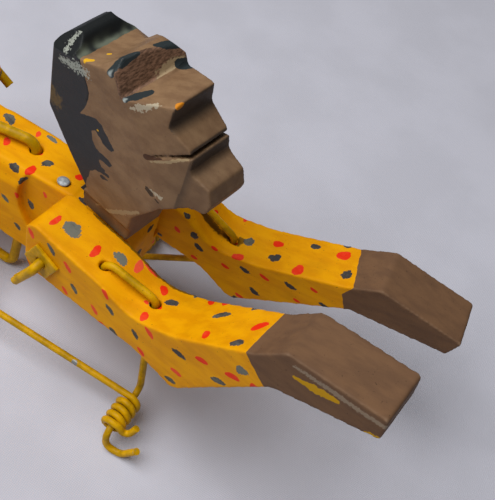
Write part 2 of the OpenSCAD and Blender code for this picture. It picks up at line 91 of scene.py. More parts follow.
def turnedY(angle):
    # Turns about the axle: a positive turn takes a hand downwards
    c, s = cosSin(angle)
    return np.array(((c, 0, s), (0, 1, 0), (-s, 0, c)))


# The right side as it is, the left side mirrored
sideRows = (np.eye(3), np.diag((1.0, -1.0, 1.0)))


def unit(v):
    return v / np.linalg.norm(v)


def limbFrame(turn, isLeft, splay, centre):
    # Rows take a point of the figure to (along, height, out) of a limb
    c, s = cosSin(splay)
    lay = np.array(((c, -s, 0), (0, 0, 1), (-s, -c, 0)))
    rows = lay @ turnedY(-turn) @ sideRows[isLeft]
    return rows, rows @ inPlane(centre) + lay @ np.array((0, -figure["limbGap"], 0))


headCos, headSin = cosSin(figure["headTurn"])
headRows = np.array(((headCos, -headSin, 0), (headSin, headCos, 0), (0, 0, 1)))
legTurn = figure["leftTurn"] / 2
frames = {
    "torso": (np.array(((1.0, 0, 0), (0, 0, 1), (0, -1, 0))), np.zeros(3)),
    "head": (headRows, headRows @ np.array((0, -figure["headShift"], 0))),
    "right_arm": limbFrame(0, False, figure["splay"], (0, 0)),
    "left_arm": limbFrame(figure["leftTurn"], True, figure["splay"], (0, 0)),
    "right_leg": limbFrame(-legTurn, False, 0, figure["hip"]),
    "left_leg": limbFrame(legTurn, True, 0, figure["hip"]),
}


def setAll(thing, **settings):
    for key, value in settings.items():
        setattr(thing, key, value)
    return thing


# Meshes
def addObject(name, data):
    made = bpy.data.objects.new(name, data)
    scene.collection.objects.link(made)
    return made


def evaluatedMesh(piece):
    depsgraph = bpy.context.evaluated_depsgraph_get()
    return bpy.data.meshes.new_from_object(piece.evaluated_get(depsgraph), depsgraph=depsgraph)


def bakeModifiers(piece):
    plain = evaluatedMesh(piece)
    piece.modifiers.clear()
    piece.data = plain


def readMesh(mesh):
    # The points in the figure's measures, the normals, and each edge's two ends
    def values(parts, key, count, kind):
        found = np.zeros(len(parts) * count, kind)
        parts.foreach_get(key, found)
        return found.reshape(-1, count)

    return (toFigure(values(mesh.vertices, "co", 3, float)), values(mesh.vertex_normals, "vector", 3, float),
            values(mesh.edges, "vertices", 2, int))


def writePoints(mesh, points):
    mesh.vertices.foreach_set("co", toFrame(points).ravel())
    mesh.update()


def averaged(values, edges):
    # The mean over each vertex's neighbours
    total = np.zeros_like(values)
    count = np.zeros(len(values))
    for a, b in ((0, 1), (1, 0)):
        np.add.at(total, edges[:, a], values[edges[:, b]])
        np.add.at(count, edges[:, a], 1)
    return total / np.maximum(count, 1).reshape((-1,) + (1,) * (values.ndim - 1))


def addField(mesh, name, values):
    field = mesh.attributes.get(name) or mesh.attributes.new(name, "FLOAT", "POINT")
    field.data.foreach_set("value", np.asarray(values, np.float32))


def addFields(piece, fields):
    for name, values in fields.items():
        addField(piece.data, name, values)


def wobble(points, size, seed):
    shift = Vector((seed * 7.3, seed * 3.1, seed * 5.7))
    return np.array([noise.noise(Vector(p) / size + shift) for p in points])


def sliceOff(work, point, normal, **side):
    # Cuts a closed shape along a plane, drops one side and closes the cut
    whole = work.verts[:] + work.edges[:] + work.faces[:]
    cut = bmesh.ops.bisect_plane(work, geom=whole, plane_co=point, plane_no=normal, **side)
    rim = [e for e in cut["geom_cut"] if isinstance(e, bmesh.types.BMEdge)]
    bmesh.ops.holes_fill(work, edges=rim)


def faceOutwards(work, mesh):
    bmesh.ops.recalc_face_normals(work, faces=work.faces)
    work.to_mesh(mesh)
    work.free()


knife = {"wasteSize": 0.09, "weld": 0.00001, "soften": 0.5, "spread": 0.5, "wearGain": 6, "fineShare": 0.5,
         "finer": 3}


def knifeBlock(centre, planes):
    # A block of waste wood: what lies in front of every one of the planes
    block = bmesh.new()
    bmesh.ops.create_cube(block, size=knife["wasteSize"], matrix=Matrix.Translation(centre))
    for point, normal in planes:
        sliceOff(block, point, normal, clear_inner=True)
    mesh = bpy.data.meshes.new("waste")
    faceOutwards(block, mesh)
    return addObject("waste", mesh)


def carve(node, how, cuts=(), notches=()):
    # The sawn shape, with knife cuts, then worn to soft edges
    mesh = frame["nodes"][node].data.copy()
    piece = addObject(how["name"], mesh)
    work = bmesh.new()
    work.from_mesh(mesh)
    bmesh.ops.remove_doubles(work, verts=work.verts, dist=knife["weld"])
    for point, normal in cuts:
        sliceOff(work, point, normal, clear_outer=True)
    work.to_mesh(mesh)
    work.free()
    for centre, planes in notches:
        waste = knifeBlock(centre, planes)
        setAll(piece.modifiers.new("Knife", "BOOLEAN"), operation="DIFFERENCE", solver="EXACT", object=waste)
        bakeModifiers(piece)
        bpy.data.objects.remove(waste)
    setAll(piece.modifiers.new("Remesh", "REMESH"), mode="VOXEL", voxel_size=how["voxel"] / perMetre)
    bakeModifiers(piece)
    mesh = piece.data
    points, _, edges = readMesh(mesh)
    for _ in range(how["softening"]):
        points = points + knife["soften"] * (averaged(points, edges) - points)
    writePoints(mesh, points)
    points, normals, edges = readMesh(mesh)
    lean = np.einsum("ij,ij->i", points - averaged(points, edges), normals) / how["voxel"]
    for _ in range(how["wearSpread"]):
        lean = (1 - knife["spread"]) * lean + knife["spread"] * averaged(lean, edges)
    hollow = wobble(points, how["hollowSize"], how["seed"])
    hollow += knife["fineShare"] * wobble(points, how["hollowSize"] / knife["finer"], how["seed"] + 1)
    points = points + normals * (hollow * how["hollowDepth"])[:, None]
    writePoints(mesh, points)
    addField(mesh, "edgeWear", np.clip(lean * knife["wearGain"], -1, 1))
    mesh.shade_smooth()
    return piece


def settle(piece, node, material):
    piece.data.materials.clear()
    piece.data.materials.append(material)
    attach(piece, frame["nodes"][node]["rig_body"])
    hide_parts(node)
    return piece


# Shader helpers
def fillInputs(tree, made, inputs):
    for key, value in inputs.items():
        if isinstance(value, bpy.types.NodeSocket):
            tree.links.new(value, made.inputs[key])
        else:
            made.inputs[key].default_value = value


def addNode(tree, kind, inputs=None, **settings):
    made = setAll(tree.nodes.new(kind), **settings)
    fillInputs(tree, made, inputs or {})
    return made


def fieldNode(tree, name):
    return addNode(tree, "ShaderNodeAttribute", attribute_name=name).outputs["Fac"]


def maths(tree, operation, a, b=0.0, c=0.0):
    return addNode(tree, "ShaderNodeMath", {0: a, 1: b, 2: c}, operation=operation).outputs[0]


def scaled(tree, value, gain, shift=0.0):
    return maths(tree, "MULTIPLY_ADD", value, gain, shift)


def ramp(tree, value, low, high, toLow=0.0, toHigh=1.0, kind="SMOOTHSTEP"):
    made = addNode(tree, "ShaderNodeMapRange", {0: value, 1: low, 2: high, 3: toLow, 4: toHigh},
                   interpolation_type=kind)
    return made.outputs[0]


def coats(tree, tones, base, *layers):
    # Lays coats over the base tone: each is a mask, a tone's name or a colour, and its greatest share
    colour = tones[base]
    for mask, tone, *share in layers:
        factor = scaled(tree, mask, share[0]) if share else mask
        over = tones[tone] if isinstance(tone, str) else tone
        made = addNode(tree, "ShaderNodeMix", {0: factor, 6: colour, 7: over}, data_type="RGBA")
        colour = made.outputs[2]
    return colour


def objectPlace(tree, stretch=None):
    place = addNode(tree, "ShaderNodeTexCoord").outputs["Object"]
    if stretch is None:
        return place
    return addNode(tree, "ShaderNodeVectorMath", {0: place, 1: stretch}, operation="MULTIPLY").outputs[0]


def noiseOf(tree, place, size, detail, roughness=0.5):
    made = addNode(tree, "ShaderNodeTexNoise", {
        "Vector": place, "Scale": size, "Detail": detail, "Roughness": roughness})
    return made.outputs["Fac"]


def startGroup(groupName, inputs, outputs):
    group = bpy.data.node_groups.new(groupName, "ShaderNodeTree")
    for socketName, value in inputs.items():
        kind = "NodeSocketVector" if isinstance(value, tuple) else "NodeSocketFloat"
        socket = group.interface.new_socket(socketName, in_out="INPUT", socket_type=kind)
        socket.default_value = value
    for socketName in outputs:
        group.interface.new_socket(socketName, in_out="OUTPUT", socket_type="NodeSocketFloat")
    return group, group.nodes.new("NodeGroupInput").outputs, group.nodes.new("NodeGroupOutput")


def useGroup(tree, group, inputs):
    return addNode(tree, "ShaderNodeGroup", inputs, node_tree=group).outputs


def makeRaggedPatch():
    # Turns a painted patch's smooth field into a brush mark with a broken edge
    group, inside, out = startGroup("raggedPatch", {
        "Field": 0.0, "Rag": 0.4, "Size": 900.0, "Softness": 0.06, "Stretch": (1, 1, 1)}, ["Mask"])
    grainy = noiseOf(group, objectPlace(group, inside["Stretch"]), inside["Size"], 4.0)
    shifted = scaled(group, maths(group, "SUBTRACT", grainy, 0.5), inside["Rag"], inside["Field"])
    low = scaled(group, inside["Softness"], -1.0)
    fillInputs(group, out, {"Mask": ramp(group, shifted, low, inside["Softness"])})
    return group


def makeBrushStrokes():
    # Long brush streaks and fine tooth in the paint
    group, inside, out = startGroup("brushStrokes", {
        "Size": 260.0, "Stretch": (0.25, 1, 1)}, ["Streaks", "Height"])
    streaks = noiseOf(group, objectPlace(group, inside["Stretch"]), inside["Size"], 5.0, 0.6)
    tooth = noiseOf(group, objectPlace(group), scaled(group, inside["Size"], 7.0), 3.0)
    fillInputs(group, out, {"Streaks": streaks, "Height": scaled(group, tooth, 0.35, streaks)})
    return group


def makeGrime():
    # Small dark specks, and a cloudy stain that is deepest in hollows
    group, inside, out = startGroup("grime", {
        "Edge": 0.0, "Speck Size": 1500.0, "Speck Share": 0.27, "Stain Size": 120.0}, ["Specks", "Stain"])
    place = objectPlace(group)
    dots = noiseOf(group, place, inside["Speck Size"], 2.0)
    full = maths(group, "SUBTRACT", inside["Speck Share"], 0.03)
    cloud = noiseOf(group, place, inside["Stain Size"], 6.0)
    fillInputs(group, out, {
        "Specks": ramp(group, dots, inside["Speck Share"], full, kind="LINEAR"),
        "Stain": ramp(group, scaled(group, inside["Edge"], -0.5, cloud), 0.52, 0.82)})
    return group


def makeWoodGrain():
    # Bare sawn wood: long fibres with darker pores
    group, inside, out = startGroup("woodGrain", {
        "Size": 1400.0, "Stretch": (0.08, 1, 1)}, ["Fibre", "Pores"])
    place = objectPlace(group, inside["Stretch"])
    pores = noiseOf(group, place, scaled(group, inside["Size"], 2.3), 2.0)
    fillInputs(group, out, {
        "Fibre": noiseOf(group, place, inside["Size"], 6.0),
        "Pores": ramp(group, pores, 0.4, 0.3, kind="LINEAR")})
    return group


raggedPatch = makeRaggedPatch()
brushStrokes = makeBrushStrokes()
grime = makeGrime()
woodGrain = makeWoodGrain()


def startMaterial(materialName, strokeSize=0.0, stretch=(1, 1, 1)):
    material = bpy.data.materials.new(materialName)
    material.use_nodes = True
    tree = material.node_tree
    strokes = useGroup(tree, brushStrokes, {"Size": strokeSize, "Stretch": stretch}) if strokeSize else None
    return material, tree, strokes


def dirtOn(tree, speckSize, speckShare, stainSize, edge=0.0):
    return useGroup(tree, grime, {
        "Edge": edge, "Speck Size": speckSize, "Speck Share": speckShare, "Stain Size": stainSize})


def finishMaterial(material, relief, depth, strength, inputs):
    # Sends the colour and the rest to the shader, and the relief to its normal
    tree = material.node_tree
    bump = addNode(tree, "ShaderNodeBump", {"Strength": strength, "Distance": depth, "Height": relief})
    fillInputs(tree, tree.nodes["Principled BSDF"], inputs | {"Normal": bump.outputs["Normal"]})
    return material


def patch(tree, name, rag, size, softness, stretch=(1, 1, 1)):
    return useGroup(tree, raggedPatch, {
        "Field": fieldNode(tree, name), "Rag": rag, "Size": size, "Softness": softness,
        "Stretch": stretch})["Mask"]


def rgb(text):
    # A colour from its usual six digits, made linear
    parts = [int(text[i:i + 2], 16) / 255 for i in (0, 2, 4)]
    return tuple(p / 12.92 if p <= 0.04045 else ((p + 0.055) / 1.055) ** 2.4 for p in parts) + (1.0,)


def palette(**tones):
    return {name: rgb(text) for name, text in tones.items()}


spotted = palette(
    yellow="EBA200", yellowDeep="DE9200", yellowPale="F2B010", red="E8220E", redPale="F0563A",
    dark="33393E", grey="6C7068", dirt="9A6C08", olive="4E3C10", speck="4A3C14", skin="74563E",
    skinDeep="684D39", skinPale="9A8068", skinSpeck="2E2620", skinRub="A4947E", yellowRub="C89608")


def makeSpottedPaint():
    material, tree, strokes = startMaterial("spottedPaint", 210.0, (0.3, 1, 1))
    edge = fieldNode(tree, "edgeWear")
    dirt = dirtOn(tree, 1300.0, 0.29, 90.0, edge)
    streaks = ramp(tree, strokes["Streaks"], 0.35, 0.65)
    red = patch(tree, "dabRed", 0.55, 700.0, 0.05)
    dark = patch(tree, "dabDark", 0.95, 1000.0, 0.05)
    pale = scaled(tree, strokes["Height"], 1.1, fieldNode(tree, "dabPale"))
    redTone = coats(tree, spotted, "red", (ramp(tree, pale, 0.75, 1.4), "redPale"))
    darkTone = coats(tree, spotted, "dark", (ramp(tree, pale, 0.8, 1.35), "grey"))
    skin = patch(tree, "skinSide", 0.9, 260.0, 0.08)
    skinTone = coats(
        tree, spotted, "skinDeep",
        (streaks, "skin"),
        (ramp(tree, edge, 0.3, 0.9, 0.0, 0.7), "skinPale"),
        (dirt["Specks"], "skinSpeck", 0.8),
        (patch(tree, "skinWorn", 2.4, 1300.0, 0.2), "skinRub", 0.55),
        (patch(tree, "yellowOnSkin", 1.9, 620.0, 0.06), "yellowRub", 0.92))
    colour = coats(
        tree, spotted, "yellowDeep",
        (streaks, "yellow"),
        (ramp(tree, edge, 0.25, 0.9, 0.0, 0.45), "yellowPale"),
        (dirt["Stain"], "dirt", 0.22),
        (red, redTone, 0.96),
        (dark, darkTone, 0.97),
        (patch(tree, "smear", 1.1, 500.0, 0.12), "olive", 0.8),
        (dirt["Specks"], "speck", 0.55),
        (skin, skinTone))
    roughness = scaled(tree, skin, 0.1, scaled(tree, strokes["Height"], 0.18, 0.42))
    relief = scaled(tree, maths(tree, "MAXIMUM", red, dark), 0.35, strokes["Height"])
    return finishMaterial(material, relief, 0.00022, 0.6, {
        "Base Color": colour, "Roughness": roughness, "Specular IOR Level": 0.08})


face = palette(
    skin="8A6C4E", skinDeep="76593F", skinWarm="9A7A5E", stain="6C5440", speck="2A211A", hair="2E2F31",
    hairBlack="16191A", hairGreen="5E6456", rub="A8ACA0", grain="886650", grainDark="5A4232",
    grainWorn="A08A6A", pores="2A1A10", stripe="2C3335", stripePale="A8B0AC", mouthRed="3A1E12",
    lipPaint="A08A68", eyeWorn="B4A890", orange="E08A08", yellowFleck="E8B000", patchBrown="6A5430",
    shadow="2A2420", knot="241C16")
markRags = {"mouthRed": 1.2, "lipPaint": 2.4, "eyeWorn": 2.6, "knot": 1.2, "orange": 0.8, "yellowFleck": 0.8}


def makeFacePaint():
    material, tree, strokes = startMaterial("facePaint", 230.0, (0.5, 1, 0.8))
    edge = fieldNode(tree, "edgeWear")
    dirt = dirtOn(tree, 1500.0, 0.28, 110.0, edge)
    grain = useGroup(tree, woodGrain, {"Size": 1700.0, "Stretch": (1, 0.025, 1)})
    bareMask = patch(tree, "bareFacet", 0.5, 500.0, 0.08)
    bareTone = coats(
        tree, face, "grainDark",
        (ramp(tree, grain["Fibre"], 0.35, 0.65), "grain"),
        (grain["Pores"], "pores", 0.5),
        (patch(tree, "facetWorn", 1.6, 900.0, 0.2), "grainWorn"))
    hairTone = coats(
        tree, face, "hair",
        (ramp(tree, fieldNode(tree, "crownTop"), 0.0, 1.0), "hairBlack"),
        (ramp(tree, fieldNode(tree, "hairGreen"), 0.0, 1.0), "hairGreen"),
        (patch(tree, "brownPatch", 3.0, 700.0, 0.5), "patchBrown", 0.75))
    stripe = patch(tree, "stripe", 0.5, 900.0, 0.06)
    stripePale = ramp(tree, fieldNode(tree, "stripePale"), 0.2, 0.9)
    marks = [(patch(tree, name, rag, 900.0, 0.1), name, 0.85) for name, rag in markRags.items()]
    colour = coats(
        tree, face, "skinDeep",
        (ramp(tree, strokes["Streaks"], 0.32, 0.68), "skin"),
        (ramp(tree, edge, 0.25, 0.9, 0.0, 0.45), "skinWarm"),
        (dirt["Stain"], "stain", 0.4),
        (bareMask, bareTone),
        # painted shade on the faces under the brow, nose, lip and chin
        (fieldNode(tree, "paintedUndercutShade"), "shadow", 0.8),
        (patch(tree, "hair", 1.5, 520.0, 0.05, (1, 1, 0.4)), hairTone),
        (patch(tree, "rub", 3.4, 1500.0, 0.05), "rub", 0.8),
        (stripe, coats(tree, face, "stripe", (stripePale, "stripePale"))),
        *marks,
        (dirt["Specks"], "speck", 0.6))
    roughness = scaled(tree, stripe, -0.2, scaled(tree, strokes["Height"], 0.16, 0.46))
    fibres = scaled(tree, grain["Fibre"], bareMask)
    return finishMaterial(material, scaled(tree, fibres, 0.6, strokes["Height"]), 0.00025, 0.7, {
        "Base Color": colour, "Roughness": roughness, "Specular IOR Level": 0.22})


wirePaint = palette(
    coat="D6A200", coatDeep="B08600", olive="6A5A08", rust="5A3A10", bare="A4A8A8", bareDark="6C6E6C")


def makeWirePaint():
    material, tree, strokes = startMaterial("wirePaint", 420.0, (0.5, 0.5, 0.5))
    dirt = dirtOn(tree, 1500.0, 0.31, 170.0, fieldNode(tree, "edgeWear"))
    bare = patch(tree, "bareTip", 0.9, 800.0, 0.1)
    metal = coats(tree, wirePaint, "bareDark", (strokes["Streaks"], "bare"))
    colour = coats(
        tree, wirePaint, "coatDeep",
        (ramp(tree, strokes["Streaks"], 0.35, 0.65), "coat"),
        (dirt["Stain"], "olive", 0.42),
        (dirt["Specks"], "rust", 0.6),
        (bare, metal))
    return finishMaterial(material, strokes["Height"], 0.0002, 0.6, {
        "Base Color": colour, "Metallic": scaled(tree, bare, 0.4), "Specular IOR Level": 0.14,
        "Roughness": scaled(tree, strokes["Height"], 0.2, 0.3)})


steel = palette(dull="8E9498", bright="B4B8BA", rust="5A4A36")


def makeNailSteel():
    material, tree, strokes = startMaterial("nailSteel", 900.0)
    colour = coats(
        tree, steel, "dull",
        (ramp(tree, strokes["Streaks"], 0.4, 0.65), "bright"),
        (dirtOn(tree, 2600.0, 0.36, 700.0)["Stain"], "rust", 0.5))
    return finishMaterial(material, strokes["Height"], 0.0001, 0.6, {
        "Base Color": colour, "Metallic": 0.2, "Roughness": scaled(tree, strokes["Height"], 0.25, 0.32)})


sawnWood = palette(dark="B08A5C", pale="D8B888", pores="6A4A2C")


def makeBareWood():
    material, tree, _ = startMaterial("bareWood")
    grain = useGroup(tree, woodGrain, {"Size": 900.0, "Stretch": (1, 1, 0.06)})
    colour = coats(
        tree, sawnWood, "dark",
        (ramp(tree, grain["Fibre"], 0.35, 0.65), "pale"),
        (grain["Pores"], "pores", 0.5))
    return finishMaterial(material, grain["Fibre"], 0.0002, 0.5, {"Base Color": colour, "Roughness": 0.7})


cloth = palette(shade="BFBFC9", light="CACAD5")


def makeCloth():
    material, tree, _ = startMaterial("paleCloth")
    place = objectPlace(tree)
    threads = [addNode(tree, "ShaderNodeTexWave", {
        "Vector": place, "Scale": 420.0, "Distortion": 3.0, "Detail": 2.0}, bands_direction=direction)
        for direction in ("X", "Y")]
    crossed = maths(tree, "ADD", threads[0].outputs["Fac"], threads[1].outputs["Fac"])
    weave = scaled(tree, crossed, 0.5)
    cloud = ramp(tree, noiseOf(tree, place, 22.0, 4.0), 0.35, 0.65, 0.0, 0.55)
    colour = coats(tree, cloth, "shade", (scaled(tree, weave, 0.45, cloud), "light"))
    return finishMaterial(material, weave, 0.0003, 0.3, {
        "Base Color": colour, "Roughness": 0.9, "Specular IOR Level": 0.1})


spottedPaint = makeSpottedPaint()
facePaint = makeFacePaint()
wireCoat = makeWirePaint()
nailSteel = makeNailSteel()
bareWood = makeBareWood()
print("materials made")


# Painted fields, worked out at each vertex in the piece's own measures
def ownPoints(piece, node):
    points, normals, _ = readMesh(piece.data)
    rows, shift = frames[node]
    return points @ rows.T - shift, normals @ rows.T


# For each face, which of a point's numbers run along and across it, and which looks out, with its sign
faceAxes = {"top": (0, 2, 1, 1), "outer": (0, 1, 2, 1), "inner": (0, 1, 2, -1)}
brush = {
    "tries": 6000, "facing": 0.45, "wrongFace": 60, "roundCorner": 6, "room": (0.85, 0.3), "swap": 0.85,
    "lean": 1.2, "halfLength": (1.5, 1.6), "halfWidth": (0.9, 0.8), "pale": 0.3,
    "bend": 0.25, "bendShift": 0.12, "throughLoss": 0.35, "backLoss": 1.5, "sameWay": 0.2, "paleReach": -0.4,
}


def layDabs(local, normals, how, blocked):
    # Listed dabs first, then brush dabs of either colour wherever there is room
    centres = []
    for (faceName, tone), dabs in how["laid"].items():
        first, second, across, sign = faceAxes[faceName]
        wrongFace = brush["wrongFace"] * (normals[:, across] * sign < brush["facing"])
        for a, b, halfLength, halfWidth, angle, pale in dabs:
            spot = int(np.argmin((local[:, first] - a) ** 2 + (local[:, second] - b) ** 2 + wrongFace))
            along = np.zeros(3)
            along[first], along[second] = cosSin(angle)
            centres.append((local[spot], normals[spot], along, halfLength, halfWidth, tone, pale))
    picks = np.random.default_rng(how["seed"])

    def drawn(low, spread):
        return low + spread * picks.random()

    for spot in picks.integers(0, len(local), brush["tries"]):
        if blocked[spot]:
            continue
        room = [np.linalg.norm(local[spot] - c[0]) + brush["roundCorner"] * (1 - float(normals[spot] @ c[1]))
                for c in centres]
        if room and min(room) < how["spacing"] * drawn(*brush["room"]):
            continue
        nearest = centres[int(np.argmin(room))][5] if room else "red"
        other = "dark" if nearest == "red" else "red"
        tone = other if picks.random() < brush["swap"] else nearest
        lean = picks.normal(size=3) + np.array((brush["lean"], 0, 0))
        centres.append((local[spot], normals[spot], lean, drawn(*brush["halfLength"]),
                        drawn(*brush["halfWidth"]), tone, drawn(0, brush["pale"])))
    fields = {"red": np.full(len(local), -1.0), "dark": np.full(len(local), -1.0)}
    paleField = np.zeros(len(local))
    for centre, normal, along, halfLength, halfWidth, tone, pale in centres:
        along = unit(along - normal * (along @ normal))
        offset = local - centre
        ahead = (offset @ along) / halfLength
        aside = (offset @ np.cross(normal, along)) / halfWidth
        aside = aside + brush["bend"] * ahead ** 2 - brush["bendShift"]
        value = 1 - np.sqrt(ahead ** 2 + aside ** 2) - brush["throughLoss"] * np.abs(offset @ normal)
        value = value - brush["backLoss"] * (normals @ normal < brush["sameWay"])
        fields[tone] = np.maximum(fields[tone], value)
        paleField = np.where(value > brush["paleReach"], np.maximum(paleField, pale), paleField)
    return fields["red"], fields["dark"], paleField


def nearPaths(local, paths):
    # One on a path and nought at its reach, which is the last number of each of its points
    best = np.full(len(local), -1.0)
    for path in paths:
        path = np.asarray(path, float)
        for a, b in zip(path[:-1], path[1:]):
            step = b[:3] - a[:3]
            t = np.clip(((local - a[:3]) @ step) / (step @ step), 0, 1)
            gap = np.linalg.norm(local - (a[:3] + t[:, None] * step), axis=1)
            best = np.maximum(best, 1 - gap / (a[3] + t * (b[3] - a[3])))
    return best


def insidePolygon(corners, a, b):
    # Signed distance to an outline, above nought inside it
    corners = np.asarray(corners, float)
    inside = np.zeros(len(a), bool)
    nearest = np.full(len(a), 1e9)
    for (x0, y0), (x1, y1) in zip(corners, np.roll(corners, -1, axis=0)):
        inside ^= ((y0 > b) != (y1 > b)) & (a < (x1 - x0) * (b - y0) / (y1 - y0 + 1e-12) + x0)
        length = (x1 - x0) ** 2 + (y1 - y0) ** 2
        t = np.clip(((a - x0) * (x1 - x0) + (b - y0) * (y1 - y0)) / length, 0, 1)
        nearest = np.minimum(nearest, np.hypot(a - x0 - t * (x1 - x0), b - y0 - t * (y1 - y0)))
    return np.where(inside, nearest, -nearest)


# Laid dabs, by face and colour: along, across, half length, half width, turn, how pale
torsoDabs = {
    ("top", "dark"): [
        (-4, 9, 2.4, 1.9, 30, 0.1), (11, 10, 3.0, 1.6, 10, 0.2), (-48, -6, 3.0, 1.8, 20, 0.3),
        (-30, -8, 2.8, 0.9, 10, 0.7), (-24, 3, 2.3, 1.5, -40, 0.1), (-32, 11, 2.2, 1.6, 20, 0.0)],
    ("top", "red"): [
        (-35, -7, 1.7, 0.9, 70, 0.3), (-27, 9, 3.2, 1.7, 100, 0.0), (-11, 1, 1.6, 1.4, 0, 0.1),
        (-42, 3, 2.2, 1.3, 60, 0.2)],
    ("outer", "red"): [
        (-29, 2, 2.0, 0.8, -60, 0.4), (-35, -13, 2.2, 1.0, -60, 0.3), (-19, 7, 1.8, 0.8, -70, 0.4)],
    ("outer", "dark"): [
        (-34, -3, 2.2, 1.1, -40, 0.4), (-25, -4, 2.6, 1.2, -70, 0.3), (-28, -16, 2.2, 1.1, -50, 0.3),
        (-42, -8, 2.2, 1.0, -50, 0.3)],
}
rightArmDabs = {
    ("top", "red"): [
        (-3, 13, 2.9, 1.1, 95, 0.2), (14, 11, 2.9, 1.4, 80, 0.15), (28, 4, 2.7, 1.5, 70, 0.8),
        (32, 1, 3.2, 0.9, 0, 0.3), (40, 4, 2.4, 1.4, 40, 0.1), (39, 12, 1.0, 0.7, 0, 0.3),
        (42, 17, 2.2, 1.4, 60, 0.2), (57, 1, 1.9, 1.2, 30, 0.1), (65, 16, 2.1, 1.4, 50, 0.1),
        (78, 8, 3.2, 1.5, -40, 0.1)],
    ("top", "dark"): [
        (3, 11, 3.5, 2.8, 0, 0.55), (22, 7, 3.1, 1.9, 10, 0.95), (46, 7, 3.0, 1.4, -10, 0.2),
        (64, 6, 3.4, 1.3, -20, 0.2), (76, 17, 2.6, 1.5, -10, 0.2)],
    ("outer", "red"): [
        (-7, 13, 2.6, 1.1, -65, 0.5), (10, 10, 2.8, 1.1, -50, 0.4), (10, -5, 2.0, 1.0, -50, 0.4),
        (27, 12, 2.4, 1.1, -50, 0.3), (24, -2, 2.6, 1.1, -50, 0.3), (47, 10, 2.6, 1.2, -40, 0.3),
        (46, -4, 2.2, 1.1, -40, 0.3), (68, 18, 2.6, 1.4, 20, 0.2), (61, 0, 2.6, 1.2, 0, 0.3),
        (80, 22, 3.0, 1.4, 20, 0.2)],
    ("outer", "dark"): [
        (2, 13, 3.0, 1.1, -50, 0.4), (14, 1, 2.6, 1.1, -50, 0.3), (30, 5, 2.6, 1.2, -40, 0.2),
        (33, -6, 2.4, 1.2, -30, 0.2), (42, 3, 2.4, 1.2, -50, 0.2), (60, 12, 3.0, 1.4, 0, 0.2),
        (60, -7, 2.4, 1.3, 10, 0.2), (76, 14, 3.0, 1.5, 30, 0.2), (82, 29, 2.5, 2.0, 40, 0.5)],
}
leftArmDabs = {
    ("top", "red"): [
        (33, 13, 2.4, 1.2, 50, 0.2), (49, 1, 2.7, 1.7, 20, 0.3), (59, 13, 2.3, 1.5, 0, 0.1),
        (68, 3, 2.7, 2.1, 60, 0.2), (79, 15, 2.9, 2.1, 20, 0.2)],
    ("top", "dark"): [
        (50, 10, 2.3, 1.8, 40, 0.3), (60, 6, 2.5, 1.8, 20, 0.0), (70, 16, 2.2, 1.3, 0, 0.1),
        (82, 6, 2.4, 1.9, 50, 0.1)],
    ("inner", "dark"): [
        (31, 9, 2.3, 1.7, -60, 0.1), (36, 4, 2.5, 1.3, -20, 0.0), (45, -5, 2.5, 1.2, -20, 0.0),
        (55, 11, 2.7, 1.2, 0, 0.0), (71, 21, 2.9, 1.2, 0, 0.0), (65, 3, 2.7, 1.3, -10, 0.0),
        (86, 24, 2.7, 1.1, 0, 0.0), (22, -5, 1.3, 0.8, 0, 0.3)],
    ("inner", "red"): [
        (25, 5, 1.9, 1.0, -30, 0.2), (40, 10, 1.7, 0.8, 0, 0.2), (38, -3, 1.7, 1.0, 0, 0.2),
        (49, 5, 2.1, 1.0, 0, 0.1), (62, 15, 2.5, 1.0, 0, 0.1), (78, 28, 1.9, 0.9, 0, 0.1),
        (78, 16, 1.7, 0.8, 0, 0.1), (63, -6, 2.2, 1.0, 0, 0.1)],
}
board = {"voxel": 0.6, "softening": 3, "wearSpread": 5, "hollowSize": 14.0, "hollowDepth": 0.14,
         "laid": {}, "spacing": 9.0, "smearStrength": 1.0}
armBoard = board | {"voxel": 0.55, "spacing": 8.5}
woodPieces = {
    "torso": board | {"name": "torsoBlock", "hollowSize": 17.0, "seed": 3, "laid": torsoDabs, "spacing": 9.5},
    "right_arm": armBoard | {"name": "rightArmBoard", "seed": 11, "laid": rightArmDabs, "smearStrength": 0.8},
    "left_arm": armBoard | {"name": "leftArmBoard", "seed": 17, "laid": leftArmDabs},
    "right_leg": board | {"name": "rightLegBoard", "seed": 23},
    "left_leg": board | {"name": "leftLegBoard", "seed": 29},
}
# Other marks on the boards, as paths of (along, height, out, reach)
boardMarks = {
    "smear": {
        "left_arm": [[(24, 13.4, 9.5, 1.2), (34, 11, 8.6, 2.0), (46, 12.8, 8.2, 2.6)]],
        "right_arm": [[(4, 17, 0.2, 0.8), (20, 15, 0.2, 0.9), (28, 13.2, 0.2, 1.0), (38, 9.8, 0.2, 1.1),
                       (60, 18, 0.2, 0.8)]]},
    "yellowOnSkin": {
        "right_arm": [[(97.6, 45, 20, 0.8), (102, 46, 20, 1.3), (104.6, 46.6, 20, 2.0), (108.6, 48, 20, 1.2),
                       (111.6, 49, 20, 0.9)], [(124.4, 45.2, 20, 1.5), (127.2, 46, 20, 1.5)]]},
    "skinWorn": {
        "right_arm": [[(96, 49.6, 19.4, 0.8), (107, 51.4, 19.6, 1.1), (117.5, 52.4, 19.8, 1.0),
                       (129, 53.8, 19.6, 0.9)]]},
}
# Where the costume ends, as planes (along, height, out, distance): the skin lies beyond them all
cuffs = {
    "right_arm": [(0.686, 0.728, 0.066, 84.8)],
    "left_arm": [(1, 0, 0.095, 85), (0.739, 0.673, 0, 87.7)],
    "right_leg": [(-1, 0.12, 0, 44.6)],
    "left_leg": [(-1, 0.12, 0, 44.6)],
}
skinLimits = {"kneeHeight": -20, "none": -9.0, "range": 4, "noDabs": -3}


